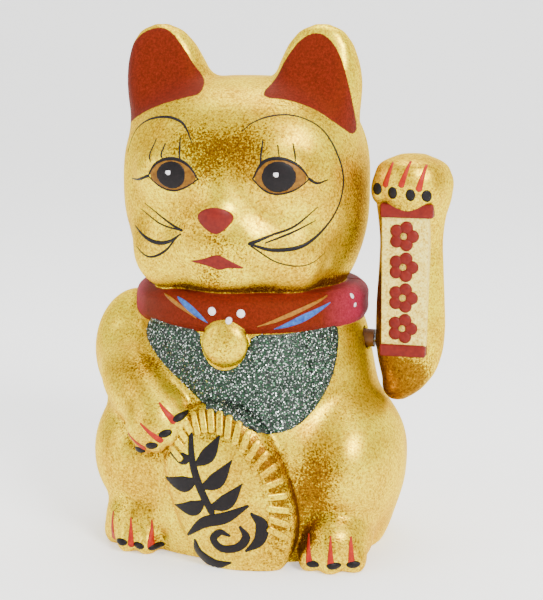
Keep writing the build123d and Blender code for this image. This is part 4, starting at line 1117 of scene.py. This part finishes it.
RING_U, RING_V = 18.6, 29.5         # half width and half height of the ring of ribs
rim_places, rim_out, rim_away = [], [], []
middle = body_skin.ray_cast(*on_coin(0, 0))[0]
for i in range(COIN_RIBS):
    a = 2 * math.pi * i / COIN_RIBS
    place, normal, _, _ = body_skin.ray_cast(*on_coin(RING_U * math.cos(a), RING_V * math.sin(a)))
    if place is None:
        continue
    if normal.y > 0:
        normal = -normal
    # only on the coin itself, off the floor, and on the upper right half of the ring
    owned = COIN[0](*[np.array([c]) for c in place])[0]
    if owned < 0.7 and place.z > 2.5 and math.cos(a - 0.75) > 0.0:
        rim_places.append(place * MM)
        rim_out.append(tuple(normal))
        rim_away.append(tuple((place - middle).normalized()))
coin_ribs = grown("coin_ribs", rim_places, [], {"outward": rim_out, "away": rim_away}, ribs_tree, {
    "Length": 9.0 * MM, "Width": 2.5 * MM, "Height": 1.7 * MM, "Material": gold,
}, "housing", "gold_paint", ("front_shell",))
# the ribs get a little of the same brown and painted shade, and no red
for key, value in (("fog", 0.12), ("red_edge", 3.0)):
    note(coin_ribs.data, key, np.full(len(coin_ribs.data.vertices), value))

# %% [markdown]
# The bib is dark green glue with glitter pressed into it. The glue is one film. The glitter is real
# flakes, five-cornered and 0.5 to 0.7 mm across, thrown over the film by a fixed seed and tipped at
# random, so that each catches the lamps at its own moment. Fine glitter is often smaller, and it is
# drawn a little coarser here so that it shows.

# %% The glitter bib
glue, tree, shader, where = blank("dark_green_glitter_glue")
flecks = node(tree, "ShaderNodeTexVoronoi", {"Vector": where}, {"Scale": per_mm(1.0)})
greens = node(tree, "ShaderNodeValToRGB", {"Fac": flecks.outputs["Color"]},
              stops=[(0.25, "040A06"), (0.5, "0E1E14"), (0.8, "1A3222")])
lumps = node(tree, "ShaderNodeBump", {"Height": flecks.outputs["Distance"]},
             {"Strength": 0.6, "Distance": 0.3 * MM})
feed(shader, {"Base Color": greens.outputs["Color"], "Normal": lumps.outputs["Normal"]}, {"Roughness": 0.5})


def flake_material(name, dark, light):
    """Metallised plastic film, chopped: each flake has its own shade."""
    material, tree, shader, where = blank(name)
    cell = node(tree, "ShaderNodeVectorMath", {0: where}, {1: (MM, MM, MM)}, operation="SNAP")
    shade = node(tree, "ShaderNodeTexWhiteNoise", {"Vector": cell.outputs[0]})
    colour = node(tree, "ShaderNodeValToRGB", {"Fac": shade.outputs["Value"]},
                  stops=[(0.0, dark), (1.0, light)])
    feed(shader, {"Base Color": colour.outputs["Color"]}, {"Metallic": 0.8, "Roughness": 0.3})
    return material


silver_flakes = flake_material("silver_glitter_flakes", "909C92", "F4F8F4")
green_flakes = flake_material("green_glitter_flakes", "0C2816", "34583E")
flakes_tree, into = geometry_tree("glitter", {
    "Per Square Metre": ("NodeSocketFloat", 1e6), "Radius": ("NodeSocketFloat", 0.0004),
    "Seed": ("NodeSocketInt", 3), "Material": ("NodeSocketMaterial", None),
})
thrown = node(flakes_tree, "GeometryNodeDistributePointsOnFaces", {
    "Mesh": into["Geometry"], "Density": into["Per Square Metre"], "Seed": into["Seed"],
})
disc = node(flakes_tree, "GeometryNodeMeshCircle", {"Radius": into["Radius"]}, {"Vertices": 5},
            fill_type="NGON")
tip = node(flakes_tree, "FunctionNodeRandomValue", {"Seed": into["Seed"]},
           {"Min": (-0.5, -0.5, 0.0), "Max": (0.5, 0.5, 3.1)}, data_type="FLOAT_VECTOR")
tipped = node(flakes_tree, "FunctionNodeRotateRotation", {
    "Rotation": thrown.outputs["Rotation"], "Rotate By": tip.outputs["Value"],
}, rotation_space="LOCAL")
scattered = node(flakes_tree, "GeometryNodeInstanceOnPoints", {
    "Points": thrown.outputs["Points"], "Instance": disc.outputs[0], "Rotation": tipped.outputs[0],
})
close_tree(flakes_tree, scattered.outputs[0], into["Material"])

BIB = [
    (-34, 90), (-42, 87), (-41, 82), (-30, 77), (-20.5, 71.5), (-13, 66.5), (-7, 62), (-1, 59.5),
    (5, 58.5), (10.5, 55), (16.5, 51.4), (22.5, 51), (28.4, 53), (34, 57.2), (39, 62.5), (43.8, 69),
    (47, 76), (49.4, 83), (50.4, 88.6),
    (40, 88.0), (26, 87.0), (13.4, 87.0), (12.0, 81.4), (9.2, 76.6), (5.8, 74.2), (2.2, 73.4), (-1.4, 74.2),
    (-4.8, 76.6), (-7.6, 81.4), (-9.0, 87.6), (-22, 88.4),
]
bib_outline = rounded(BIB, 1)
paint("glitter_bib", [bib_outline], on_head, body_skin, glue, height=0.3, edge=0.8, grid=1.0)
spots, faces = film([bib_outline], on_head, body_skin, 0.42, edge=0.8, grid=1.6)
top = [f for f in faces if max(f) < len(spots) // 2]
for name, per_mm2, radius, seed, material in (
    ("bib_silver_flakes", 0.95, 0.27, 3, silver_flakes), ("bib_green_flakes", 1.6, 0.34, 8, green_flakes),
):
    grown(name, [p * MM for p in spots], top, {}, flakes_tree, {
        "Per Square Metre": per_mm2 * 1e6, "Radius": radius * MM, "Seed": seed, "Material": material,
    }, "housing", "gold_paint", ("front_shell",))

# %% [markdown]
# ## The tablet on the arm
# A cream tablet lies down the front of the forearm with a red band across each end. It is moulded
# with the arm, and its edges are crisp, so it is modelled as softened blocks on their own. Down
# its middle stand four raised red flowers with pale hearts.

# %% Tablet and bands
cream_paint, tree, shader, where = blank("brushed_cream_gold_enamel")
grains = node(tree, "ShaderNodeTexNoise", {"Vector": where},
              {"Scale": per_mm(0.8), "Detail": 4.0, "Roughness": 0.7})
creams = node(tree, "ShaderNodeValToRGB", {"Fac": grains.outputs["Fac"]},
              stops=[(0.34, "A87810"), (0.46, "E4C43C"), (0.62, "F8E87C")])
pitted = node(tree, "ShaderNodeBump", {"Height": grains.outputs["Fac"]},
              {"Strength": 0.35, "Distance": 0.08 * MM})
feed(shader, {"Base Color": creams.outputs["Color"], "Normal": pitted.outputs["Normal"]},
     {"Roughness": 0.45, "Metallic": 0.2})


def soft_block(low, high, soft, taper=0.0):
    """A block with rounded edges and, if asked, a foot that is narrower than its top."""
    work = bmesh.new()
    bmesh.ops.create_cube(work, size=1.0)
    for vert in work.verts:
        at = [(a + b) / 2 + c * (b - a) for a, b, c in zip(low, high, vert.co)]
        lift = (at[2] - low[2]) / (high[2] - low[2])
        at[0] += (at[0] - (low[0] + high[0]) / 2) * taper * (lift - 0.5)
        vert.co = at
    bmesh.ops.subdivide_edges(work, edges=[e for e in work.edges if e.calc_length() > 15], cuts=12)
    sharp = [e for e in work.edges if e.calc_face_angle(0) > 0.5]
    bmesh.ops.bevel(work, geom=sharp, offset=soft, segments=3, profile=0.6, affect="EDGES")
    bmesh.ops.recalc_face_normals(work, faces=work.faces)
    spots = [tuple(v.co) for v in work.verts]
    faces = [[v.index for v in f.verts] for f in work.faces]
    work.free()
    return spots, faces


def joined(parts):
    """Several point-and-face pairs as one."""
    spots, faces = [], []
    for some_spots, some_faces in parts:
        base = len(spots)
        spots += [tuple(p) for p in some_spots]
        faces += [[base + i for i in f] for f in some_faces]
    return spots, faces


TABLET_X, TABLET_FRONT = 62.4, -15.6
piece("arm_tablet", *soft_block((TABLET_X - 8.6, TABLET_FRONT, 80), (TABLET_X + 8.6, -6, 131), 0.7, 0.05),
      cream_paint, "arm", "gold_paint", ("arm_front_shell",))
piece("tablet_bands", *joined([
    soft_block((TABLET_X - 9.4, TABLET_FRONT - 1.0, 129.0), (TABLET_X + 10.4, -7, 134.4), 1.0),
    soft_block((TABLET_X - 8.8, TABLET_FRONT - 0.9, 76.6), (TABLET_X + 8.4, -7, 81.2), 0.8),
]), red_paint, "arm", "gold_paint", ("arm_front_shell",))

# %% Flowers
flower_tree, into = geometry_tree("row_of_flowers", {
    "Rows": ("NodeSocketInt", 4), "Pitch": ("NodeSocketFloat", 0.012), "Petals": ("NodeSocketInt", 5),
    "Ring": ("NodeSocketFloat", 0.0026), "Petal": ("NodeSocketFloat", 0.0022),
    "Rise": ("NodeSocketFloat", 0.4), "Material": ("NodeSocketMaterial", None),
})
ring_of = node(flower_tree, "GeometryNodeMeshCircle", {"Vertices": into["Petals"], "Radius": into["Ring"]})
ball = node(flower_tree, "GeometryNodeMeshUVSphere", {"Radius": into["Petal"]}, {"Segments": 20, "Rings": 10})
squash = node(flower_tree, "ShaderNodeCombineXYZ", {"Z": into["Rise"]}, {"X": 1.0, "Y": 1.0})
petals = node(flower_tree, "GeometryNodeInstanceOnPoints", {
    "Points": ring_of.outputs[0], "Instance": ball.outputs["Mesh"], "Scale": squash.outputs[0],
})
step = node(flower_tree, "ShaderNodeCombineXYZ", {"Z": into["Pitch"]})
row = node(flower_tree, "GeometryNodeMeshLine", {"Count": into["Rows"], "Offset": step.outputs[0]})
facing = node(flower_tree, "FunctionNodeEulerToRotation", values={"Euler": (math.radians(90), 0, 0)})
flowers = node(flower_tree, "GeometryNodeInstanceOnPoints", {
    "Points": row.outputs[0], "Instance": petals.outputs[0], "Rotation": facing.outputs[0],
})
move = node(flower_tree, "GeometryNodeInputNamedAttribute", values={"Name": "start"},
            data_type="FLOAT_VECTOR")
first = node(flower_tree, "GeometryNodeSampleIndex",
             {"Geometry": into["Geometry"], "Value": move.outputs["Attribute"]}, data_type="FLOAT_VECTOR")
lifted = node(flower_tree, "GeometryNodeTransform",
              {"Geometry": flowers.outputs[0], "Translation": first.outputs[0]})
close_tree(flower_tree, lifted.outputs[0], into["Material"])
# a ring has three points at least, so a heart is three balls in one place: its ring has no radius
for name, petals_n, ring_r, petal_r, rise, material, proud in (
    ("flower_petals", 5, 3.3, 2.5, 0.42, red_paint, 0.0),
    ("flower_hearts", 3, 0.0, 1.4, 0.85, cream_paint, 0.1),
):
    at = np.array([[TABLET_X - 0.4, TABLET_FRONT - proud, 87.4]], np.float32) * MM
    grown(name, [(0, 0, 0)], [], {"start": at}, flower_tree, {
        "Rows": 4, "Pitch": 11.6 * MM, "Petals": petals_n, "Ring": ring_r * MM, "Petal": petal_r * MM,
        "Rise": rise, "Material": material,
    }, "arm", "gold_paint", ("arm_front_shell",))

# %% [markdown]
# ## The works
# The clock-like works inside, the base and the screws are the CAD parts themselves, and only get
# their materials here. Each finish starts from the real one: what it is, how its surface was made,
# and how big its grain is. One function covers them all, because each is a colour that drifts over
# a few millimetres, a fine grain that roughens it, and a shallow relief.

# %% Finishes for the works
def finish(name, dark, light, grain, roughness, metallic=0.0, relief=0.02, stretch=(1, 1, 1)):
    """A surface with its grain size and relief in millimetres, stretched along the way it was worked."""
    material, tree, shader, where = blank(name)
    laid = node(tree, "ShaderNodeMapping", {"Vector": where}, {"Scale": stretch})
    fine = node(tree, "ShaderNodeTexNoise", {"Vector": laid.outputs["Vector"]},
                {"Scale": per_mm(grain), "Detail": 5.0, "Roughness": 0.65}).outputs["Fac"]
    drift = node(tree, "ShaderNodeTexNoise", {"Vector": where}, {"Scale": per_mm(9), "Detail": 2.0})
    mixed = node(tree, "ShaderNodeMath", {0: fine, 1: drift.outputs["Fac"]}, operation="ADD")
    half = node(tree, "ShaderNodeMath", {0: mixed.outputs[0]}, {1: 0.5}, operation="MULTIPLY")
    colour = node(tree, "ShaderNodeValToRGB", {"Fac": half.outputs[0]}, stops=[(0.35, dark), (0.65, light)])
    worn = node(tree, "ShaderNodeMapRange", {"Value": fine},
                {"From Min": 0.3, "From Max": 0.7, "To Min": roughness - 0.07, "To Max": roughness + 0.07})
    bump = node(tree, "ShaderNodeBump", {"Height": fine}, {"Strength": 0.4, "Distance": relief * MM})
    feed(shader, {
        "Base Color": colour.outputs["Color"], "Roughness": worn.outputs["Result"],
        "Normal": bump.outputs["Normal"],
    }, {"Metallic": metallic})
    return material, tree, shader, where


def banded(tree, where, axis, pitch, dark, light):
    """Colour in bands along one axis, this many millimetres apart."""
    along = node(tree, "ShaderNodeSeparateXYZ", {"Vector": where}).outputs[axis]
    turns = node(tree, "ShaderNodeMath", {0: along}, {1: 2 * math.pi / (pitch * MM)}, operation="MULTIPLY")
    wave = node(tree, "ShaderNodeMath", {0: turns.outputs[0]}, operation="SINE")
    level = node(tree, "ShaderNodeMapRange", {"Value": wave.outputs[0]}, {"From Min": -1.0})
    return node(tree, "ShaderNodeValToRGB", {"Fac": level.outputs["Result"]},
                stops=[(0.3, dark), (0.7, light)]).outputs["Color"]


# spark-eroded moulded ABS: matt, with a fine even grain that greys its black
base_black = finish("moulded_black_abs", "121113", "1E1D20", 0.5, 0.55, relief=0.05)[0]
# smooth moulded ABS for switch and transistor: the same black, but glossier
small_black = finish("smooth_black_abs", "0E0E10", "1A1A1C", 0.3, 0.38)[0]
# natural polystyrene: milky white, slightly yellow, a satin skin
milky = finish("moulded_white_polystyrene", "D2CEC2", "E4E0D4", 0.8, 0.42)[0]
# the spacer is the same plastic, coloured a dark brown that paints in the shade behind the arm, so that it
# hides there
spacer_shade_brown = finish("moulded_brown_polystyrene", "5A3406", "7C4C10", 0.8, 0.5)[0]
# nylon: off-white and waxy, so it lets a little light in
waxy = finish("moulded_nylon", "C8C4B6", "DAD6C8", 0.6, 0.35)[0]
# a phenolic board: brown resin over paper, whose fibres run one way
board_brown = finish("phenolic_paper_board", "6E4A1E", "94682E", 0.4, 0.5, stretch=(1, 0.2, 1))[0]
# enamelled copper wire: the turns lie side by side, 0.3 mm apart and drawn at 0.8 mm to show
copper, tree, shader, where = finish("enamelled_copper_wire", "8A3E14", "B86A34", 0.3, 0.3, metallic=0.9)
tree.links.new(banded(tree, where, "Z", 0.8, "5E260A", "C0703A"), shader.inputs["Base Color"])
# an aluminium can in a printed sleeve: dark blue-grey plastic film, drawn tight
can = finish("shrunk_capacitor_sleeve", "1C2438", "2C3850", 1.2, 0.32)[0]
# the cell's jacket is printed film: gold with a black band, here along its length, which is Y
jacket, tree, shader, where = finish("printed_cell_jacket", "20201E", "30302E", 1.0, 0.3, metallic=0.4)
along = node(tree, "ShaderNodeSeparateXYZ", {"Vector": where}).outputs["Y"]
level = node(tree, "ShaderNodeMapRange", {"Value": along},
             {"From Min": -25 * MM, "From Max": 25 * MM}, clamp=True)
bands = node(tree, "ShaderNodeValToRGB", {"Fac": level.outputs["Result"]},
             stops=[(0.0, "B07A1C"), (0.33, "C08A2A"), (0.34, "1C1C1A"), (0.97, "262624")])
tree.links.new(bands.outputs["Color"], shader.inputs["Base Color"])
# nickel-plated spring steel: bright, drawn along its length
spring = finish("nickel_plated_spring_steel", "9A9A96", "C4C4C0", 0.25, 0.28, metallic=1.0,
                stretch=(1, 1, 0.2))[0]
# zinc-plated steel: ground or turned round X, so its marks run round the shaft
zinc = finish("zinc_plated_steel", "8E9298", "B8BCC2", 0.2, 0.3, metallic=1.0, stretch=(2, 0.3, 0.3))[0]
# the bob is a cut slug of mild steel, duller, with a saw's marks
slug = finish("mild_steel_slug", "5C5A58", "82807C", 0.4, 0.45, metallic=1.0, relief=0.04)[0]
# a sintered magnet under nickel: nearly a mirror
nickel = finish("nickel_plate", "A8A49C", "CAC6BE", 0.3, 0.2, metallic=1.0)[0]
# PVC wire jackets: soft plastic with a faint sheen
pvc = {colour: finish("pvc_jacket_" + colour, dark, light, 0.5, 0.45)[0]
       for colour, dark, light in (("red", "8E1008", "AE2012"), ("black", "0C0C0E", "1A1A1C"),
                                   ("blue", "102C82", "2044A6"))}

WORKS = {
    base_black: ("base_plate", "battery_door"),
    small_black: ("switch_knob", "switch_body", "transistor"),
    milky: ("battery_box", "mechanism_frame", "pendulum_lever", "coil_bobbin"),
    spacer_shade_brown: ("arm_spacer",),
    waxy: ("inner_bush", "outer_bush"),
    board_brown: ("circuit_board",),
    copper: ("coil_winding",),
    can: ("capacitor",),
    jacket: ("battery",),
    spring: ("positive_contact", "negative_spring", "negative_contact", "shaft_clip"),
    zinc: ("pivot_shaft", "lever_screw", "base_screws", "module_screws"),
    slug: ("counterweight",),
    nickel: ("magnet",),
    pvc["red"]: ("red_lead",), pvc["black"]: ("black_lead",), pvc["blue"]: ("blue_lead",),
}
for material, names in WORKS.items():
    for name in names:
        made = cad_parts[name]
        if not made.material_slots:
            made.data.materials.append(material)
        for place in made.material_slots:
            place.material = material
dressed = {name for names in WORKS.values() for name in names}
print("works dressed:", len(dressed), "of", len(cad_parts), "nodes")

# %% Finish
size = {"cad": CAD_BOX, "visual": [list(corner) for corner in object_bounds()]}
